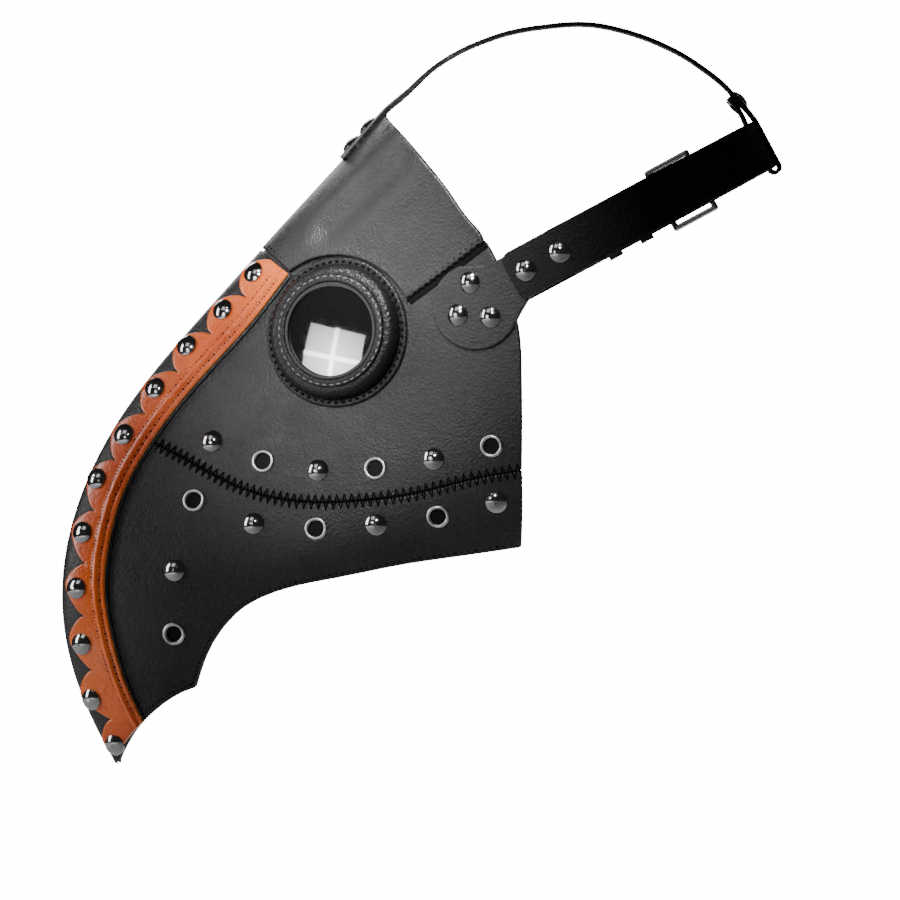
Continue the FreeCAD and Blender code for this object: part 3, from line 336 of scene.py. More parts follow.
def distance_to(points, line, closed=True):
    ends = np.roll(line, -1, axis=0) if closed else line[1:]
    starts = line if closed else line[:-1]
    best = np.full(len(points), 1e9)
    for a, b in zip(starts, ends):
        run = b - a
        part = np.clip(((points - a) @ run) / max(run @ run, 1e-12), 0, 1)
        best = np.minimum(best, ((points - a - part[:, None] * run) ** 2).sum(1))
    return np.sqrt(best)


def bump(distance, width):
    return np.exp(-(distance / width) ** 2)


def ease(value):
    value = np.clip(value, 0, 1)
    return value * value * (3 - 2 * value)


# ---- meshes
def add_object(name, data):
    obj = bpy.data.objects.new(name, data)
    bpy.context.scene.collection.objects.link(obj)
    return obj


def place(name, shape, material, replaced, slot):
    """A piece on the mask's body; shape is points in mm, faces and perhaps edge nearness."""
    points, faces, *edge = shape
    mesh = bpy.data.meshes.new(name)
    mesh.from_pydata((np.asarray(points) * MM).tolist(), [], [list(map(int, f)) for f in faces])
    mesh.validate()
    mesh.shade_smooth()
    if edge:
        layer = mesh.attributes.new("edge", "FLOAT", "POINT")
        layer.data.foreach_set("value", np.asarray(edge[0], np.float32))
    obj = add_object(name, mesh)
    mesh.materials.append(material)
    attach(obj, MASK)
    if replaced:
        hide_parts(*replaced)
    return obj


def place_pair(name, shape, material, nodes, slot):
    """Left piece and its mirror image, each standing for its own CAD nodes."""
    points, faces, *edge = shape
    mirrored = (np.asarray(points) * (-1, 1, 1), [f[::-1] for f in faces], *edge)
    return [place(name + side, form, material, [n + side for n in nodes], slot)
            for side, form in (("_L", shape), ("_R", mirrored))]


EDGE_STEPS = (0.22, 0.6, 1.2)
EDGE_ROUND = 0.8


def patch(outline, low, top, relief=None, holes=(), pitch=2.0, step=1.2):
    """Leather piece cut to a pattern outline: points, faces and edge nearness."""
    loops = [divided(np.asarray(loop), step) for loop in [outline, *holes]]
    seeds, chain, start = [], [], 0
    for k, loop in enumerate(loops):
        area = np.sum(loop[:, 0] * np.roll(loop[:, 1], -1) - np.roll(loop[:, 0], -1) * loop[:, 1])
        run = np.roll(loop, -1, axis=0) - np.roll(loop, 1, axis=0)
        inward = np.stack([-run[:, 1], run[:, 0]], -1) * np.sign(area) * (1 if k == 0 else -1)
        inward /= np.linalg.norm(inward, axis=1, keepdims=True) + 1e-12
        seeds += [(loop + inward * gap, gap * 0.8) for gap in EDGE_STEPS]
        chain += [(start + i, start + (i + 1) % len(loop)) for i in range(len(loop))]
        start += len(loop)
    border = np.vstack(loops)
    lowest, highest = border.min(0), border.max(0)
    us = np.arange(lowest[0], highest[0], pitch)
    vs = np.arange(lowest[1], highest[1], pitch * 0.87)
    grid = np.array([(u + (pitch / 2 if row % 2 else 0), v) for row, v in enumerate(vs) for u in us])
    seeds.append((grid, EDGE_STEPS[-1] + pitch * 0.45))

    def edge_distance(points):
        return np.min([distance_to(points, loop) for loop in loops], axis=0)
    kept = [border]
    for points, gap in seeds:
        points = points[inside(points, loops)]
        kept.append(points[edge_distance(points) >= gap])
    flat = np.vstack(kept)
    found = delaunay_2d_cdt([Vector(p) for p in flat], chain, [], 0, 1e-4)
    flat = np.array([tuple(p) for p in found[0]])
    triangles = np.array([f for f in found[2] if len(f) == 3])
    triangles = triangles[inside(flat[triangles].mean(1), loops)]
    corners = flat[triangles]
    turn = np.cross(corners[:, 1] - corners[:, 0], corners[:, 2] - corners[:, 0])
    triangles[turn < 0] = triangles[turn < 0][:, ::-1]

    away = edge_distance(flat)
    rounding = np.sqrt(1 - (1 - np.clip(away / EDGE_ROUND, 0, 1)) ** 2)
    height = low + (top - low) * (0.4 + 0.6 * rounding)
    if relief is not None:
        height = height + relief(flat, away)
    upper, _ = on_shell(flat, height)
    lower, _ = on_shell(flat, low)
    count = len(flat)
    faces = [tuple(f) for f in triangles] + [tuple(f[::-1] + count) for f in triangles]
    sides = {}
    for f in triangles:
        for a, b in ((f[0], f[1]), (f[1], f[2]), (f[2], f[0])):
            sides[(a, b)] = sides.get((a, b), 0) + 1
    faces += [(b, a, a + count, b + count) for a, b in sides if (b, a) not in sides]
    near = np.exp(-away / 0.5)
    return np.vstack([upper, lower]), faces, np.concatenate([near, near])


# ---- thread
TUBE_SIDES = 6
STITCH_RINGS = np.array([0.0, 0.08, 0.3, 0.5, 0.7, 0.92, 1.0])


def threads(starts, ends, normals, radius, rise):
    """Short arched thread runs, one from each start to its end."""
    run = ends - starts
    length = np.linalg.norm(run, axis=1, keepdims=True)
    run = run / length
    side = np.cross(normals, run)
    side /= np.linalg.norm(side, axis=1, keepdims=True)
    out = np.cross(run, side)
    rings = []
    for part in STITCH_RINGS:
        arch = math.sin(math.pi * part) ** 0.6
        size = radius * (0.35 + 0.65 * min(1.0, 5 * min(part, 1 - part)))
        centre = starts + (ends - starts) * part + out * (rise * arch - radius * (1 - arch))
        for k in range(TUBE_SIDES):
            angle = 2 * math.pi * k / TUBE_SIDES
            rings.append(centre + (side * math.cos(angle) + out * math.sin(angle)) * size)
    per = len(STITCH_RINGS) * TUBE_SIDES
    points = np.stack(rings, 1).reshape(-1, 3)
    template = []
    for ring in range(len(STITCH_RINGS) - 1):
        for k in range(TUBE_SIDES):
            a, b = ring * TUBE_SIDES + k, ring * TUBE_SIDES + (k + 1) % TUBE_SIDES
            template.append((a, b, b + TUBE_SIDES, a + TUBE_SIDES))
    template.append(tuple(range(TUBE_SIDES))[::-1])
    template.append(tuple(per - TUBE_SIDES + k for k in range(TUBE_SIDES)))
    faces = [tuple(i + n * per for i in face) for n in range(len(starts)) for face in template]
    return points, faces


def merged(parts):
    points, faces, start = [], [], 0
    for some, these in parts:
        points.append(some)
        faces += [tuple(i + start for i in face) for face in these]
        start += len(some)
    return np.vstack(points), faces


def running_stitches(line, height, pitch, radius=0.36, cover=0.7, rise=0.16):
    """Stitches along a pattern line, lying on leather whose face is at height."""
    line = evened(line, pitch)
    a, b = line[:-1], line[1:]
    trim = (1 - cover) / 2
    starts, _ = on_shell(a + (b - a) * trim, height)
    ends, normals = on_shell(b - (b - a) * trim, height)
    return threads(starts, ends, normals, radius, rise)


# ---- materials
class Nodes:
    """Small helper for writing a node material."""

    def __init__(self, name):
        self.material = bpy.data.materials.new(name)
        self.material.use_nodes = True
        self.tree = self.material.node_tree
        self.shader = self.tree.nodes["Principled BSDF"]
        self.coords = self.add("ShaderNodeTexCoord").outputs["Object"]

    def add(self, kind, **values):
        node = self.tree.nodes.new(kind)
        for key, value in values.items():
            setattr(node, key, value)
        return node

    def link(self, source, target):
        self.tree.links.new(source, target)

    def noise(self, scale, detail):
        node = self.add("ShaderNodeTexNoise")
        node.inputs["Scale"].default_value = scale
        node.inputs["Detail"].default_value = detail
        node.inputs["Roughness"].default_value = 0.55
        self.link(self.coords, node.inputs["Vector"])
        return node.outputs["Fac"]

    def cells(self, scale):
        node = self.add("ShaderNodeTexVoronoi", feature="F1")
        node.inputs["Scale"].default_value = scale
        self.link(self.coords, node.inputs["Vector"])
        return node.outputs["Distance"]

    def span(self, value, low, high, to_low, to_high):
        node = self.add("ShaderNodeMapRange")
        for key, number in zip(("From Min", "From Max", "To Min", "To Max"), (low, high, to_low, to_high)):
            node.inputs[key].default_value = number
        self.link(value, node.inputs["Value"])
        return node.outputs["Result"]

    def blend(self, factor, first, second):
        node = self.add("ShaderNodeMix", data_type="RGBA")
        self.link(factor, node.inputs["Factor"])
        for socket, colour in ((node.inputs[6], first), (node.inputs[7], second)):
            if isinstance(colour, tuple):
                socket.default_value = (*colour, 1)
            else:
                self.link(colour, socket)
        return node.outputs[2]

    def bumps(self, *layers):
        """Bump from (height, strength, distance in mm), one over another."""
        last = None
        for height, strength, distance in layers:
            node = self.add("ShaderNodeBump")
            node.inputs["Strength"].default_value = strength
            node.inputs["Distance"].default_value = distance * MM
            self.link(height, node.inputs["Height"])
            if last is not None:
                self.link(last, node.inputs["Normal"])
            last = node.outputs["Normal"]
        self.link(last, self.shader.inputs["Normal"])

    def set(self, **values):
        for key, value in values.items():
            socket = self.shader.inputs[key.replace("_", " ")]
            socket.default_value = (*value, 1) if isinstance(value, tuple) else value


def leather(name, dark, light, worn, rough, coat=0.0, grain=1.0, shine=0.5):
    """Pebbled leather: fine grain, soft tone changes and edges rubbed lighter."""
    n = Nodes(name)
    tone = n.blend(n.span(n.noise(22, 3), 0.35, 0.65, 0, 1), dark, light)
    edge = n.add("ShaderNodeAttribute", attribute_name="edge").outputs["Fac"]
    n.link(n.blend(n.span(edge, 0.25, 1.0, 0, 0.75), tone, worn), n.shader.inputs["Base Color"])
    n.link(n.span(n.noise(60, 4), 0.3, 0.7, rough - 0.06, rough + 0.07), n.shader.inputs["Roughness"])
    n.bumps((n.cells(820), 0.8 * grain, 0.30), (n.noise(1500, 3), 0.5 * grain, 0.12),
            (n.noise(95, 3), 0.22, 0.3))
    n.set(Coat_Weight=coat, Coat_Roughness=0.16, Specular_IOR_Level=shine)
    return n.material


def metal(name, colour, rough):
    n = Nodes(name)
    n.link(n.span(n.noise(300, 4), 0.3, 0.7, rough - 0.04, rough + 0.06), n.shader.inputs["Roughness"])
    n.link(n.blend(n.noise(120, 3), colour, tuple(c * 0.72 for c in colour)), n.shader.inputs["Base Color"])
    n.bumps((n.noise(900, 2), 0.06, 0.02))
    n.set(Metallic=1.0)
    return n.material


def thread(name, colour, shade, rough, shine=0.5):
    n = Nodes(name)
    n.link(n.blend(n.noise(1800, 2), colour, shade), n.shader.inputs["Base Color"])
    n.bumps((n.noise(3200, 2), 0.6, 0.06))
    n.set(Roughness=rough, Specular_IOR_Level=shine)
    return n.material


def cloth(name, dark, light):
    n = Nodes(name)
    ribs = n.add("ShaderNodeTexWave", wave_type="BANDS", bands_direction="Z")
    ribs.inputs["Scale"].default_value = 320
    ribs.inputs["Distortion"].default_value = 1.2
    n.link(n.coords, ribs.inputs["Vector"])
    n.link(n.blend(ribs.outputs["Fac"], dark, light), n.shader.inputs["Base Color"])
    n.bumps((ribs.outputs["Fac"], 0.35, 0.12), (n.noise(1400, 3), 0.4, 0.08))
    n.set(Roughness=0.9, Sheen_Weight=0.3)
    return n.material


BLACK_LEATHER = leather("black_leather", (0.006, 0.006, 0.007), (0.013, 0.013, 0.014),
                        (0.02, 0.02, 0.022), 0.46)
PAD_LEATHER = leather("pad_leather", (0.005, 0.005, 0.006), (0.010, 0.010, 0.011),
                      (0.018, 0.018, 0.02), 0.38, shine=0.3)
TAB_LEATHER = leather("tab_leather", (0.005, 0.005, 0.006), (0.012, 0.012, 0.013),
                      (0.02, 0.02, 0.022), 0.44)
# Straps and keepers: a darker copy of the tab's leather, painted shade for parts that lie away from the
# light.
SHADED_STRAP_LEATHER = leather("strap_leather", (0.003, 0.003, 0.003), (0.006, 0.006, 0.006),
                        (0.010, 0.010, 0.011), 0.55, shine=0.22)
# Near-black, rough strip under the forehead's toothed edge: painted shadow of that raised edge.
SEAM_SHADOW = leather("painted_seam_shadow", (0.002, 0.002, 0.002), (0.004, 0.004, 0.004),
                  (0.004, 0.004, 0.004), 0.75, shine=0.08)
TAN_LEATHER = leather("tan_leather", (0.62, 0.070, 0.003), (0.86, 0.140, 0.008),
                      (0.95, 0.34, 0.08), 0.30, coat=0.45, grain=0.6)
LINING = cloth("lining_cloth", (0.016, 0.016, 0.018), (0.045, 0.045, 0.05))
BLACK_THREAD = thread("black_thread", (0.003, 0.003, 0.003), (0.001, 0.001, 0.001), 0.8, shine=0.1)
# Pale grey thread round the lens: black thread painted pale, a painted highlight.
HIGHLIGHT_THREAD = thread("painted_highlight_thread", (0.26, 0.26, 0.265), (0.11, 0.11, 0.115), 0.38)
TAN_THREAD = thread("tan_thread", (0.52, 0.13, 0.03), (0.34, 0.07, 0.015), 0.5)
# Dark pieces lying between the tan stitches: painted shade of the stitch holes.
HOLE_SHADE = thread("painted_hole_shade", (0.07, 0.009, 0.003), (0.03, 0.005, 0.002), 0.8, shine=0.1)
GUNMETAL = metal("gunmetal", (0.42, 0.42, 0.43), 0.12)
NICKEL = metal("nickel", (0.72, 0.72, 0.72), 0.30)
STEEL = metal("buckle_steel", (0.50, 0.50, 0.52), 0.22)
# Black discs in the vent eyelets: painted shade of the hood's dark inside, seen through the holes.
SHADE_SCREEN = metal("painted_shade_screen", (0.02, 0.02, 0.02), 0.55)


def glossy(name, dark, light, tone_scale, rough, rough_scale):
    """Smooth moulded surface; rough is the pair its roughness runs between."""
    n = Nodes(name)
    n.link(n.blend(n.noise(tone_scale, 2), dark, light), n.shader.inputs["Base Color"])
    n.link(n.span(n.noise(rough_scale, 2), 0.3, 0.7, *rough), n.shader.inputs["Roughness"])
    return n


lens_nodes = glossy("smoked_lens", (0.004, 0.004, 0.005), (0.008, 0.008, 0.009), 30, (0.03, 0.07), 200)
lens_nodes.set(IOR=2.2, Coat_Weight=1.0, Coat_Roughness=0.03, Coat_IOR=2.0)
LENS = lens_nodes.material
PLASTIC = glossy("black_plastic", (0.004, 0.004, 0.004), (0.007, 0.007, 0.008), 80,
                 (0.40, 0.50), 150).material

# ---- flat patterns
inner_line = from_side(smooth(TRIM_INNER))
order = np.argsort(inner_line[:, 0])
inner_line = inner_line[order]


def inner_reach(u):
    """Distance from the ridge of the trim's inner edge."""
    return np.interp(u, inner_line[:, 0], inner_line[:, 1])


def ridge_u_at_height(z):
    ridge = GRID.reshape(ROWS, COLUMNS, 3)[:, 0]
    return float(np.interp(-z, -ridge[:, 2], ROW_S * PATTERN_LENGTH))


top_inner, top_ridge = from_side(BAND_TOP)
top_ridge = np.array([top_ridge[0] + 0.8, 0.0])
mouth_line = from_side(smooth(BEAK_MOUTH))
tip_u = ridge_u_at_height(TIP_HEIGHT)
mouth_start = mouth_line[np.argmin(np.abs(mouth_line[:, 1] - inner_reach(mouth_line[:, 0])))]
seam_line = from_side(smooth(ZIGZAG_SEAM))
hem_line = from_side(smooth(HEM))
rear_line = from_side(smooth(SIDE_REAR))
eye = Seat(EYE_CENTRE)


def around_eye(radius, start, end):
    angle = np.radians(np.linspace(start, end, 30))
    return np.stack([EYE_CENTRE[0] + radius * np.cos(angle), EYE_CENTRE[1] + radius * np.sin(angle)], -1)


def scallops():
    """Outer edge of the trim: one lobe for each rivet, as in part.py."""
    valleys, rivets = from_side(TRIM_VALLEYS), from_side(TRIM_RIVETS)
    full = math.hypot(1, TIP_ROUNDING)
    line = []
    for i, (middle, rivet_reach) in enumerate(rivets):
        start, end = valleys[i], valleys[i + 1]
        u = np.linspace(start[0], end[0], 33)[:-1]
        before = u < middle
        away = np.where(before, (middle - u) / (middle - start[0]), (u - middle) / (end[0] - middle))
        away = np.clip(away, 0, 1)
        sharp = 0.2 + 0.5 * i / (len(rivets) - 1)
        pointed = (full - np.hypot(away, TIP_ROUNDING)) / (full - TIP_ROUNDING)
        lobe = np.sqrt(1 - away ** 2) * (1 - sharp) + pointed * sharp
        valley = np.where(before, start[1], end[1])
        tip = max(rivet_reach - TIP_BEYOND_RIVET, LEAST_TIP_REACH)
        line += list(zip(u, valley - (valley - tip) * lobe))
    return np.array(line)


def ridge_strip(outer, extra=0.0):
    """Closed pattern between an outer line along the ridge and the trim's inner edge."""
    u = np.linspace(top_ridge[0] - 25, tip_u + 15, 260)
    inner = np.stack([u, inner_reach(u) + extra], -1)[::-1]
    polygon = np.vstack([outer, inner])
    polygon = clipped(polygon, top_inner, top_ridge)
    return clipped(polygon, np.array([tip_u, 0.0]), mouth_start)


def both_sides(half):
    """A left-hand pattern joined along the ridge to its mirror image."""
    on_ridge = half[:, 1] < 1e-6
    first = int(np.argmax(on_ridge & ~np.roll(on_ridge, -1)))
    half = np.roll(half, -first, axis=0)
    chain = half[half[:, 1] >= 1e-6]
    ends = half[half[:, 1] < 1e-6]
    near = ends[np.argmin(np.linalg.norm(ends - chain[0], axis=1))]
    far = ends[np.argmin(np.linalg.norm(ends - chain[-1], axis=1))]
    return np.vstack([near, chain, far, chain[::-1] * (1, -1)])


FOREHEAD_TOP_HEIGHT = 109.0
UNDER_RIDGE = 0.6
SIDE_RISE = 12.0
rear_ridge_u = ridge_u_at_height(FOREHEAD_TOP_HEIGHT)

trim_outline = ridge_strip(scallops())
ridge_run = np.array([(top_ridge[0] - 25, 0.0), (tip_u + 15, 0.0)])
band_outline = both_sides(ridge_strip(ridge_run, BAND_EXTRA))

TOOTH_PITCH = 3.3
TOOTH_DEPTH = 0.9
FOREHEAD_SEAM = [(-56.5, 16.2), (-37, 30.5), (-18.4, 44.7)]
forehead_seam = from_side(smooth(FOREHEAD_SEAM))


def sideways(line):
    """Unit directions to the left of a pattern line."""
    run = np.gradient(line, axis=0)
    run /= np.linalg.norm(run, axis=1, keepdims=True)
    return np.stack([-run[:, 1], run[:, 0]], -1)


def toothed(line):
    """The forehead's pinked edge: small even teeth."""
    line = evened(line, TOOTH_PITCH / 2)
    swing = np.where(np.arange(len(line)) % 2, 0.5, -0.5)[:, None] * TOOTH_DEPTH
    return line + sideways(line) * swing


forehead_front = from_side([(-127, 40.9), (-121, 35.6)])
forehead_eye = from_side(around_eye(FLANGE_RADIUS + 0.5, 128, 22.5))
forehead_rear = from_side(smooth(FOREHEAD_REAR))
forehead_half = np.vstack([[(top_ridge[0] - 1.0, 0.0)], forehead_front - (0.4, 0), forehead_eye,
                           toothed(forehead_seam)[1:-1], forehead_rear, [(rear_ridge_u, 0.0)]])
forehead_outline = both_sides(forehead_half)

SEAM_GAP = 0.15
upper_seam = from_side(smooth([(y, z + SEAM_GAP) for y, z in ZIGZAG_SEAM]))
lower_seam = from_side(smooth([(y, z - SEAM_GAP) for y, z in ZIGZAG_SEAM]))
upper_outline = np.vstack([[(top_ridge[0] - SIDE_RISE, UNDER_RIDGE)],
                           from_side(around_eye(43, 118, 49)),
                           from_side([(-50.9, 29.1), (-29, 45), (-20.5, 46.2)]),
                           rear_line, upper_seam[::-1], [(upper_seam[0, 0], UNDER_RIDGE)]])
lower_outline = np.vstack([[(lower_seam[0, 0], UNDER_RIDGE)], lower_seam, hem_line, mouth_line[1:],
                           [(tip_u, UNDER_RIDGE)]])

LINING_FRONT = [(-112, 25), (-129, 4), (-149, -17), (-171, -43), (-181, -57), (-192, -79),
                (-199, -106), (-201, -125), (-198, -148), (-192, -170), (-185.5, -186)]
LINING_HEM = [(-152, -146), (-139.5, -132.5), (-115, -121.5), (-61, -110.5), (-4, -101.5)]
LINING_REAR = [(-4, -42), (-6, 2), (-13, 25), (-21.5, 41)]
LINING_CORNER = [(-167, -172), (-159.5, -157)]
LINING_TOP = [(-29, 40.5), (-52, 24), (-62, 27), (-76, 35.5), (-90, 39.5), (-102, 35.5)]
lining_outline = from_side(np.vstack([smooth(LINING_FRONT), LINING_CORNER, smooth(LINING_HEM),
                                      smooth(LINING_REAR), LINING_TOP]))
FOREHEAD_LINING = [(-112, 62), (-108, 46), (-88, 47), (-66, 39), (-50, 33), (-30, 49.5)]
FOREHEAD_LINING_REAR = [(-26, 50), (-39, 68), (-59, 93), (-66, 101)]
HARNESS_SLOPE = math.radians(28.3)
HARNESS_BASE = 28.9


def along_strap(back, up):
    """Side-view point in the harness's sloping axes."""
    c, s = math.cos(HARNESS_SLOPE), math.sin(HARNESS_SLOPE)
    return (back * c - up * s, HARNESS_BASE + back * s + up * c)


def arc_through(a, b, c, count=40):
    """Circular arc from a through b to c."""
    a, b, c = (np.array(p, float) for p in (a, b, c))
    system = np.array([b - a, c - a]) * 2
    centre = np.linalg.solve(system, [b @ b - a @ a, c @ c - a @ a])
    angle = [math.atan2(*(p - centre)[::-1]) for p in (a, b, c)]
    turn = 2 * math.pi
    to_b, to_c = (angle[1] - angle[0]) % turn, (angle[2] - angle[0]) % turn
    sweep = to_c if to_b < to_c else to_c - turn
    at = angle[0] + np.linspace(0, sweep, count)
    return centre + np.linalg.norm(a - centre) * np.stack([np.cos(at), np.sin(at)], -1)


tab_outline = from_side(np.vstack([
    arc_through((-29.9, 32.7), (-43.2, 6.5), (-2.3, 5.1)),
    smooth([(-2.3, 5.1), (0.8, 11), along_strap(0, -11.5)])[1:],
    arc_through(along_strap(25, -10.5), along_strap(29.5, 0), along_strap(25, 10.5), 12),
    smooth([along_strap(0, 11.5), (-17, 33.6), (-29.9, 32.7)])[:-1]]))


# ---- leather relief
def swells(flat, size):
    """Slow hand-stretched unevenness of leather over a form."""
    u, v = flat[:, 0], np.abs(flat[:, 1])
    return size * (0.6 * np.sin(u / 17 + v / 31 + 0.4) + 0.4 * np.sin(v / 12 - u / 37 + 1.1))


ZIGZAG_PITCH = 3.6
ZIGZAG_SWING = 4.6
HEM_STITCH_INSET = 2.3
TAN_PITCH = 3.9
TRIM_FACE = 2.62
EDGE_STITCH_INSET = 2.2
SEAM_SHADOW_WIDTH = 3.4


def seam_relief(flat, line):
    """Groove and puckers where two panels meet."""
    d = distance_to(flat, line, closed=False)
    ripple = 0.06 * np.sin(2 * math.pi * flat[:, 0] / ZIGZAG_PITCH) * bump(d, 4.0)
    return ripple - 0.06 * bump(d, 0.9)


def upper_relief(flat, away):
    return swells(flat, 0.08) + seam_relief(flat, seam_line)


def lower_relief(flat, away):
    d = distance_to(flat, np.vstack([hem_line, mouth_line]), closed=False)
    hem = 0.35 * ease((6.0 - d) / 2.0) - 0.45 * bump(d - HEM_STITCH_INSET, 0.7)
    return swells(flat, 0.08) + seam_relief(flat, seam_line) + hem


forehead_fold = from_side([(-95, 51), (-86, 60), (-77, 68.5), (-60, 84)])


def forehead_relief(flat, away):
    left = np.abs(flat)
    d = distance_to(left, forehead_fold, closed=False)
    fold = -1.5 * bump(d, 7) + 0.8 * bump(d - 14, 7)
    clear_of_strap = ease((left[:, 1] - 14) / 14)
    edge = 0.3 * ease((4.6 - away) / 1.6) - 0.45 * bump(away - EDGE_STITCH_INSET, 0.7)
    near_strap = ease((left[:, 1] - 14) / 4)
    return swells(flat, 0.12) * clear_of_strap + fold * clear_of_strap + edge * near_strap


def tab_relief(flat, away):
    """Creased line just inside the tab's edge."""
    return -0.25 * bump(away - 2.0, 0.6)


PIPE_OUTER = 7.5
PIPE_INNER = 3.1


def trim_relief(flat, away):
    """Piped band between two sewn rows, beside the trim's inner edge."""
    from_inner = inner_reach(flat[:, 0]) - flat[:, 1]
    middle = (PIPE_OUTER + PIPE_INNER) / 2
    pipe = 1.0 * np.clip(1 - ((from_inner - middle) / 2.1) ** 2, 0, 1) ** 0.7
    rows = 0.4 * (bump(from_inner - PIPE_OUTER, 0.6) + bump(from_inner - PIPE_INNER, 0.6))
    return pipe - rows


# ---- leather pieces
eyelet_upper_holes = [Seat(p).circle(EYELET_HOLE, 24) for p in EYELETS_UPPER]
eyelet_lower_holes = [Seat(p).circle(EYELET_HOLE, 24) for p in EYELETS_LOWER]
eye_hole = eye.circle(EYE_BORE, 96)

place_pair("upper_side", patch(upper_outline, -1.8, 0.0, upper_relief, [eye_hole, *eyelet_upper_holes]),
           BLACK_LEATHER, ["upper_side_panel"], "black_leather")
place_pair("lower_side", patch(lower_outline, -1.8, 0.0, lower_relief, eyelet_lower_holes),
           BLACK_LEATHER, ["lower_side_panel"], "black_leather")
place("forehead", patch(forehead_outline, 0.05, 1.65, forehead_relief),
      BLACK_LEATHER, ["forehead_panel"], "black_leather")
# Painted shadow: a near-black strip along the forehead seam, where the raised edge casts its shade.
seam_shadow_line = evened(forehead_seam, 1.5)
seam_shadow_outline = np.vstack([seam_shadow_line + sideways(seam_shadow_line) * 0.8,
                             (seam_shadow_line - sideways(seam_shadow_line) * SEAM_SHADOW_WIDTH)[::-1]])
place_pair("seam_shadow_strip", patch(seam_shadow_outline, 0.0, 0.5, pitch=1.6)[:2], SEAM_SHADOW, [], "black_leather")
place("ridge_cover", patch(band_outline, 0.05, 1.25), BLACK_LEATHER, ["ridge_band"], "black_leather")
place_pair("trim", patch(trim_outline, 1.3, 2.9, trim_relief, pitch=1.3, step=0.7),
           TAN_LEATHER, ["scalloped_trim"], "tan_leather")
place_pair("temple_tab", patch(tab_outline, 0.05, 1.85, tab_relief, pitch=1.6),
           TAB_LEATHER, ["strap_tab"], "strap_leather")


side_lining = patch(lining_outline, -2.6, -1.85, pitch=3.0,
                    holes=[eye.circle(EYE_BORE + 0.7, 96), *eyelet_upper_holes, *eyelet_lower_holes])
for lining in place_pair("lining", side_lining, LINING, ["side_lining"], "lining_cloth"):
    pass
lining_half = np.vstack([from_side(FOREHEAD_LINING), from_side(smooth(FOREHEAD_LINING_REAR))])
lining_half = np.vstack([[(lining_half[0, 0], 0.0)], lining_half, [(lining_half[-1, 0] - 2, 0.0)]])
brow = patch(both_sides(lining_half), -0.85, 0.0, pitch=3.0)
brow_lining = place("brow_lining", brow, LINING, ["forehead_lining"], "lining_cloth")

# ---- eyepiece
ROUND = 256
angles = np.arange(ROUND) * 2 * math.pi / ROUND
foot_height = eye.shell_height(34.2, angles)
bore_height = eye.shell_height(EYE_BORE + 0.4, angles)
PAD_TOP, PAD_INNER, PAD_FOOT = 9.2, 28.2, 34.2
PUCKERS = 64
LENS_RADIUS, LENS_RISE, LENS_BACK, LENS_FRONT = 24.1, 1.6, 7.6, 9.0
LENS_RINGS = [0.1, 0.25, 0.4, 0.55, 0.7, 0.85, 0.97, 1.0]


def lathed(rings):
    """Closed ring whose section is given as (radius, height) arrays round the eye."""
    points = np.concatenate([eye.point(radius, angles, height) for radius, height in rings])
    faces = []
    for i in range(len(rings)):
        j = (i + 1) % len(rings)
        for k in range(ROUND):
            m = (k + 1) % ROUND
            faces.append((i * ROUND + k, i * ROUND + m, j * ROUND + m, j * ROUND + k))
    return points, faces


def padded_collar():
    """Stuffed leather roll, drawn in by its stitches along the foot and the lip."""
    rings = []
    pucker = np.sin(PUCKERS * angles)
    foot = foot_height + 1.2
    for k in range(15):
        turn = math.pi / 2 * k / 14
        gathered = 0.13 * pucker * (math.exp(-k / 2.5) + math.exp((k - 14) / 2.5))
        radius = PAD_INNER + (PAD_FOOT - PAD_INNER) * math.cos(turn) ** 0.8 + gathered
        rings.append((radius, foot + (PAD_TOP - foot) * math.sin(turn) ** 0.85 + gathered))
    rings.append((EYE_BORE + 0.25 + 0 * angles, PAD_TOP - 0.15 + 0 * angles))
    rings.append((EYE_BORE + 0.25 + 0 * angles, bore_height + 1.75))
    rings.append((PAD_FOOT - 0.6 + 0 * angles, foot_height + 1.0))
    return lathed(rings[::-1])


def lip_ring():
    """Flat leather ring over the collar's top, rounded at both edges."""
    flat = 0 * angles
    section = [(24.35, 9.4), (24.35, 10.5), (24.6, 10.8), (25.2, 10.92), (26.4, 10.85), (27.1, 10.62),
               (27.6, 10.75), (28.0, 10.55), (28.2, 10.1), (28.1, 9.5)]
    return lathed([(radius + flat, height + flat) for radius, height in section])


def lens_disc():
    """Smoked lens, slightly domed, its two faces the same distance apart all over."""
    ball = (LENS_RADIUS ** 2 + LENS_RISE ** 2) / (2 * LENS_RISE)
    points, faces, rims = [], [], []
    for low, order in ((LENS_BACK, -1), (LENS_FRONT, 1)):
        pole = len(points)
        points.append(eye.point(0.0, 0.0, low + LENS_RISE))
        for part in LENS_RINGS:
            drop = ball - math.sqrt(ball ** 2 - (LENS_RADIUS * part) ** 2)
            points.extend(eye.point(LENS_RADIUS * part, angles, low + LENS_RISE - drop))
        for k in range(ROUND):
            m = (k + 1) % ROUND
            faces.append((pole, pole + 1 + k, pole + 1 + m)[::order])
            for i in range(len(LENS_RINGS) - 1):
                a = pole + 1 + i * ROUND
                faces.append((a + k, a + ROUND + k, a + ROUND + m, a + m)[::order])
        rims.append(len(points) - ROUND)
    back, front = rims
    for k in range(ROUND):
        m = (k + 1) % ROUND
        faces.append((back + k, back + m, front + m, front + k))
    return np.array(points), faces


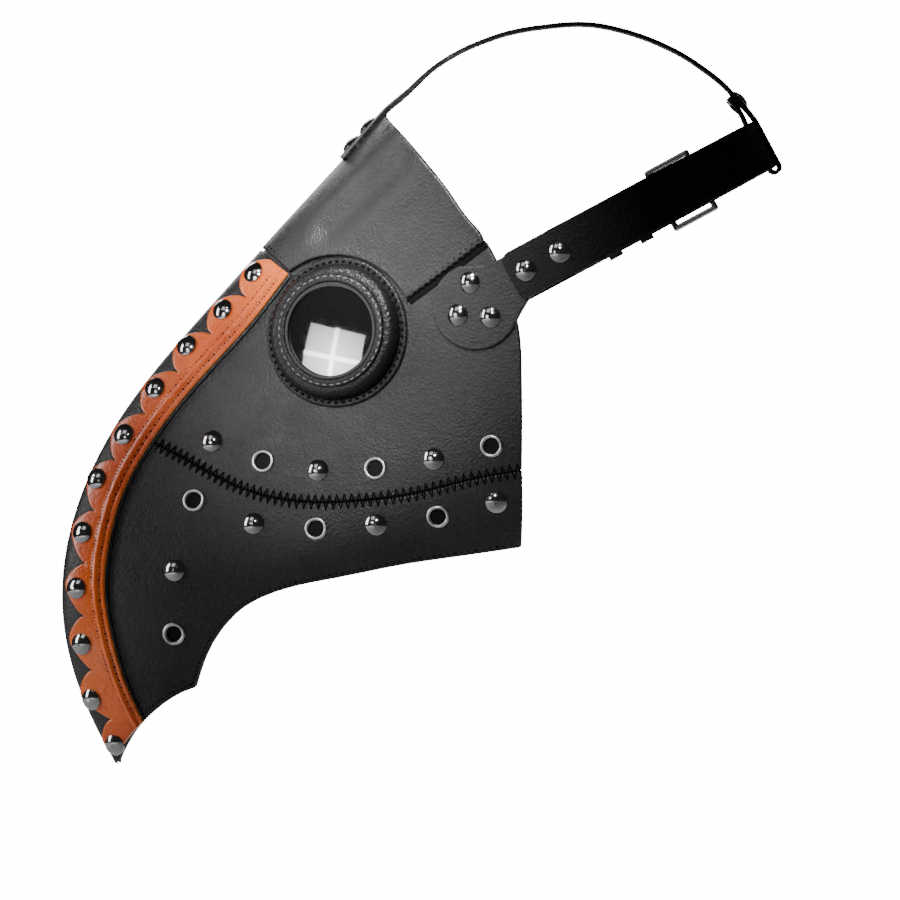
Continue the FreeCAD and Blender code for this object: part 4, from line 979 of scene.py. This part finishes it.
for collar in place_pair("eye_collar", padded_collar(), PAD_LEATHER, ["eye_padding"], "black_leather"):
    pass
place_pair("eye_rim", lip_ring(), PAD_LEATHER, ["eye_lip"], "black_leather")
place_pair("eye_glass", lens_disc(), LENS, ["lens"], "lens")
eye_base = patch(eye.circle(FLANGE_RADIUS, 180), 0.05, 1.65, pitch=1.6,
                 holes=[eye.circle(EYE_BORE + 0.2, 96)])
place_pair("eye_base", eye_base, PAD_LEATHER, ["eye_flange"], "black_leather")


def ring_stitches(radius, height, count, thick):
    """Stitches round the eyepiece; height may change round it."""
    at = np.arange(count) * 2 * math.pi / count
    height = np.interp(at, np.append(angles, 2 * math.pi), np.append(height, height[0]))
    half = math.pi / count * 0.68
    starts = eye.point(radius, at - half, height)
    ends = eye.point(radius, at + half, height)
    return threads(starts, ends, np.tile(eye.out, (count, 1)), thick, 0.16)


lip_thread = ring_stitches(27.2, 10.62 + 0 * angles, 45, thick=0.42)
foot_thread = ring_stitches(35.3, eye.shell_height(35.3, angles) + 1.65, 60, thick=0.62)


# ---- thread
def zigzag():
    """Black overcast thread across the seam between the side panels."""
    line = evened(seam_line[(seam_line[:, 1] > inner_reach(seam_line[:, 0]) + 1.5)], ZIGZAG_PITCH / 2)
    swing = np.where(np.arange(len(line)) % 2, 1.0, -1.0)[:, None] * ZIGZAG_SWING
    line = line + sideways(line) * swing
    starts, _ = on_shell(line[:-1], 0.1)
    ends, normals = on_shell(line[1:], 0.1)
    return threads(starts, ends, normals, 0.4, 0.3)


def between(line, pitch):
    """The same line started half a stitch later, for what lies between its stitches."""
    return evened(evened(line, pitch / 2)[1:-1], pitch)


u_run = np.linspace(top_inner[0] + 3, mouth_start[0] - 2, 300)
tan_lines = [np.stack([u_run, inner_reach(u_run) - gap], -1) for gap in (PIPE_INNER, PIPE_OUTER)]
tan_rows = merged([running_stitches(line, TRIM_FACE, TAN_PITCH, radius=0.42, cover=0.62, rise=0.2)
                   for line in tan_lines])
# Dark dashes between the tan stitches, lying on the trim: painted shade of the stitch holes.
hole_shade_marks = merged([running_stitches(between(line, TAN_PITCH), TRIM_FACE, TAN_PITCH, radius=0.55,
                                     cover=0.42, rise=-0.02) for line in tan_lines])
hem_run = evened(np.vstack([hem_line, mouth_line[1:-6]]), 1.5)
hem_side = hem_run + sideways(hem_run) * -HEM_STITCH_INSET
seam_run = evened(forehead_seam, 1.5)
seam_inset = seam_run + sideways(seam_run) * EDGE_STITCH_INSET
front_inset = evened(from_side([(-127, 40.9), (-117.5, 32.4)]), 1.5) - (2.4, 0)
black_rows = [foot_thread, running_stitches(hem_side[2:-2], -0.02, 3.4), zigzag(),
              running_stitches(seam_inset, 1.5, 3.4, radius=0.38),
              running_stitches(front_inset, 1.5, 3.2)]


place_pair("black_stitches", merged(black_rows), BLACK_THREAD, [], "black_leather")
# The lip stitches are black thread painted pale grey: a painted highlight.
place_pair("eyepiece_stitches", lip_thread, HIGHLIGHT_THREAD, [], "black_leather")
place_pair("trim_stitches", tan_rows, TAN_THREAD, [], "tan_leather")
place_pair("trim_hole_shade", hole_shade_marks, HOLE_SHADE, [], "tan_leather")


# ---- harness
def softened(node, name, width, body=MASK):
    """The CAD solid's own shape, its square edges rounded."""
    form = bmesh.new()
    form.from_mesh(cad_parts[node].data)
    bmesh.ops.remove_doubles(form, verts=form.verts, dist=3e-6)
    bmesh.ops.dissolve_limit(form, angle_limit=math.radians(1.2), verts=form.verts, edges=form.edges)
    sharp = [e for e in form.edges if len(e.link_faces) == 2 and e.calc_face_angle(0) > math.radians(50)]
    bmesh.ops.bevel(form, geom=sharp, offset=width * MM, segments=3, profile=0.6, affect="EDGES",
                    clamp_overlap=True)
    bmesh.ops.triangulate(form, faces=[f for f in form.faces if len(f.verts) > 4])
    mesh = bpy.data.meshes.new(name)
    form.to_mesh(mesh)
    form.free()
    mesh.shade_smooth()
    obj = add_object(name, mesh)
    obj.modifiers.new("shading", "WEIGHTED_NORMAL").keep_sharp = True
    # Straps and keepers take the darker copy of the tab's leather: painted shade.
    mesh.materials.append(SHADED_STRAP_LEATHER)
    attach(obj, body)
    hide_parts(node)
    return obj


softened("strap_left", "long_strap", 0.5)
softened("strap_right", "short_strap", 0.5)
softened("top_strap", "crown_strap", 0.5)
softened("fixed_keeper", "fixed_loop", 0.35)
softened("sliding_keeper", "sliding_loop", 0.35, body="sliding_keeper")

# ---- carried-over CAD nodes
# vent_screens take the black disc material: painted shade in the eyelet holes.
NODE_MATERIALS = {
    PLASTIC: ("lens_bezel", "lens_seat"), STEEL: ("buckle",), SHADE_SCREEN: ("vent_screens",),
    NICKEL: ("vent_eyelets",),
    GUNMETAL: ("trim_rivet", "panel_rivet", "tab_rivet", "strap_rivet", "top_strap_rivet", "eyelet_washers")}
for node_name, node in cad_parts.items():
    for material, starts in NODE_MATERIALS.items():
        if node_name.startswith(starts):
            node.data.materials.clear()
            node.data.materials.append(material)

# ---- studio and camera
CENTRE = Vector((0.0, -0.0355, -0.0585))
FRAME_WIDTH = 0.45
CAMERA_DISTANCE = 6.0
SENSOR_WIDTH = 36
CLIP_END = 50
FLOOR_DROP = 0.125
FLOOR_RADIUS = 1.3
FLOOR_SIDES = 96
BACKDROP_STRENGTH = 16.0
AMBIENT_STRENGTH = 0.03
# Pools of light: name, aim, the way to the lamp, watts and cone in degrees.
POOLS = [("key", (0.06, -0.075, 0.015), (1.62, -0.36, 0.75), 105, 8.5),
         ("brow", (0.03, -0.055, 0.08), (1.0, -0.3, 1.0), 330, 7.4)]
POOL_BLEND = 0.9
POOL_SOURCE = 0.03
# Softboxes: name, place, width, height and watts.
SOFTBOXES = [("panel", (0.95, -1.0, 0.95), 0.6, 0.6, 1.8),
             ("front", (0.2, -1.7, 0.4), 0.4, 1.2, 15),
             ("far_side", (-1.3, -0.5, 0.8), 0.8, 0.8, 12)]
# Lamps straight over the floor: name, x, y, watts and cone in degrees.
FLOOR_LAMPS = [("floor_near", 0.75, -0.85, 60, 50), ("floor_far", -0.7, 0.3, 90, 85)]
FLOOR_LAMP_HEIGHT = 0.75
FLOOR_LAMP_AIM = -0.34
FLOOR_LAMP_BLEND = 0.8
# The four-paned window that the left lens reflects.
WINDOW_DISTANCE = 0.3
WINDOW_TILT = math.radians(10)
WINDOW_SHIFT = Vector((0, 0.007, -0.053))
WINDOW_SIZE = (0.127, 0.12)
WINDOW_WATTS = 0.0189
WINDOW_SPREAD = math.radians(40)
BAR_WIDTH = 0.009
BAR_WATTS = 0.0018
BAR_STANDS_OFF = 0.01


def look_from(obj, location, target):
    obj.location = location
    obj.rotation_euler = (Vector(target) - Vector(location)).to_track_quat("-Z", "Y").to_euler()


def add_light(name, kind, location, target, watts):
    light = bpy.data.lights.new(name, kind)
    light.energy = watts
    obj = add_object(name, light)
    look_from(obj, location, target)
    obj.visible_camera = False
    return obj


def softbox(name, location, width, height, watts, target=CENTRE):
    obj = add_light(name, "AREA", location, target, watts)
    obj.data.shape = "RECTANGLE"
    obj.data.size, obj.data.size_y = width, height
    return obj


for name, target, offset, watts, cone in POOLS:
    spot = add_light(name, "SPOT", Vector(target) + Vector(offset), target, watts)
    spot.data.spot_size = math.radians(cone)
    spot.data.spot_blend = POOL_BLEND
    spot.data.shadow_soft_size = POOL_SOURCE
for name, location, width, height, watts in SOFTBOXES:
    softbox(name, location, width, height, watts)
for name, x, y, watts, cone in FLOOR_LAMPS:
    lamp = add_light(name, "SPOT", (x, y, FLOOR_LAMP_HEIGHT), (x, y, FLOOR_LAMP_AIM), watts)
    lamp.data.spot_size = math.radians(cone)
    lamp.data.spot_blend = FLOOR_LAMP_BLEND

mirror = Vector(eye.out)
toward = Vector((1, 0, 0))
bounce = (2 * mirror.dot(toward) * mirror - toward).normalized()
lens_centre = Vector(eye.point(0.0, 0.0, LENS_FRONT)) * MM
window = lens_centre + bounce * WINDOW_DISTANCE + WINDOW_SHIFT
bars = window + (lens_centre - window).normalized() * BAR_STANDS_OFF
for name, place_at, width, height, watts in (("window", window, *WINDOW_SIZE, WINDOW_WATTS),
                                             ("window_mullion", bars, BAR_WIDTH, WINDOW_SIZE[1], BAR_WATTS),
                                             ("window_transom", bars, WINDOW_SIZE[0], BAR_WIDTH, BAR_WATTS)):
    pane = softbox(name, place_at, width, height, watts, lens_centre)
    pane.data.spread = WINDOW_SPREAD
    pane.rotation_euler.rotate_axis("Z", -WINDOW_TILT)

camera_data = bpy.data.cameras.new("camera")
camera_data.sensor_width = SENSOR_WIDTH
camera_data.lens = SENSOR_WIDTH * CAMERA_DISTANCE / FRAME_WIDTH
camera_data.clip_end = CLIP_END
camera = add_object("camera", camera_data)
look_from(camera, CENTRE + Vector((CAMERA_DISTANCE, 0, 0)), CENTRE)
bpy.context.scene.camera = camera

floor_height = CAD_BOX[0][2] - FLOOR_DROP
floor_mesh = bpy.data.meshes.new("floor")
floor_angles = np.arange(FLOOR_SIDES) * 2 * math.pi / FLOOR_SIDES
floor_points = [(math.cos(a) * FLOOR_RADIUS, math.sin(a) * FLOOR_RADIUS, floor_height) for a in floor_angles]
floor_mesh.from_pydata(floor_points, [], [tuple(range(FLOOR_SIDES))])
floor = add_object("floor", floor_mesh)
pale = Nodes("pale_floor")
paint = pale.blend(pale.noise(2, 2), (0.90, 0.90, 0.90), (0.93, 0.93, 0.93))
pale.link(paint, pale.shader.inputs["Base Color"])
pale.set(Roughness=0.7)
floor_mesh.materials.append(pale.material)

world = bpy.data.worlds.new("studio")
bpy.context.scene.world = world
world.use_nodes = True
tree = world.node_tree
background = tree.nodes["Background"]
background.inputs["Color"].default_value = (1, 1, 1, 1)
rays = tree.nodes.new("ShaderNodeLightPath")
strength = tree.nodes.new("ShaderNodeMapRange")
strength.inputs["To Min"].default_value = AMBIENT_STRENGTH
strength.inputs["To Max"].default_value = BACKDROP_STRENGTH
tree.links.new(rays.outputs["Is Camera Ray"], strength.inputs["Value"])
tree.links.new(strength.outputs["Result"], background.inputs["Strength"])
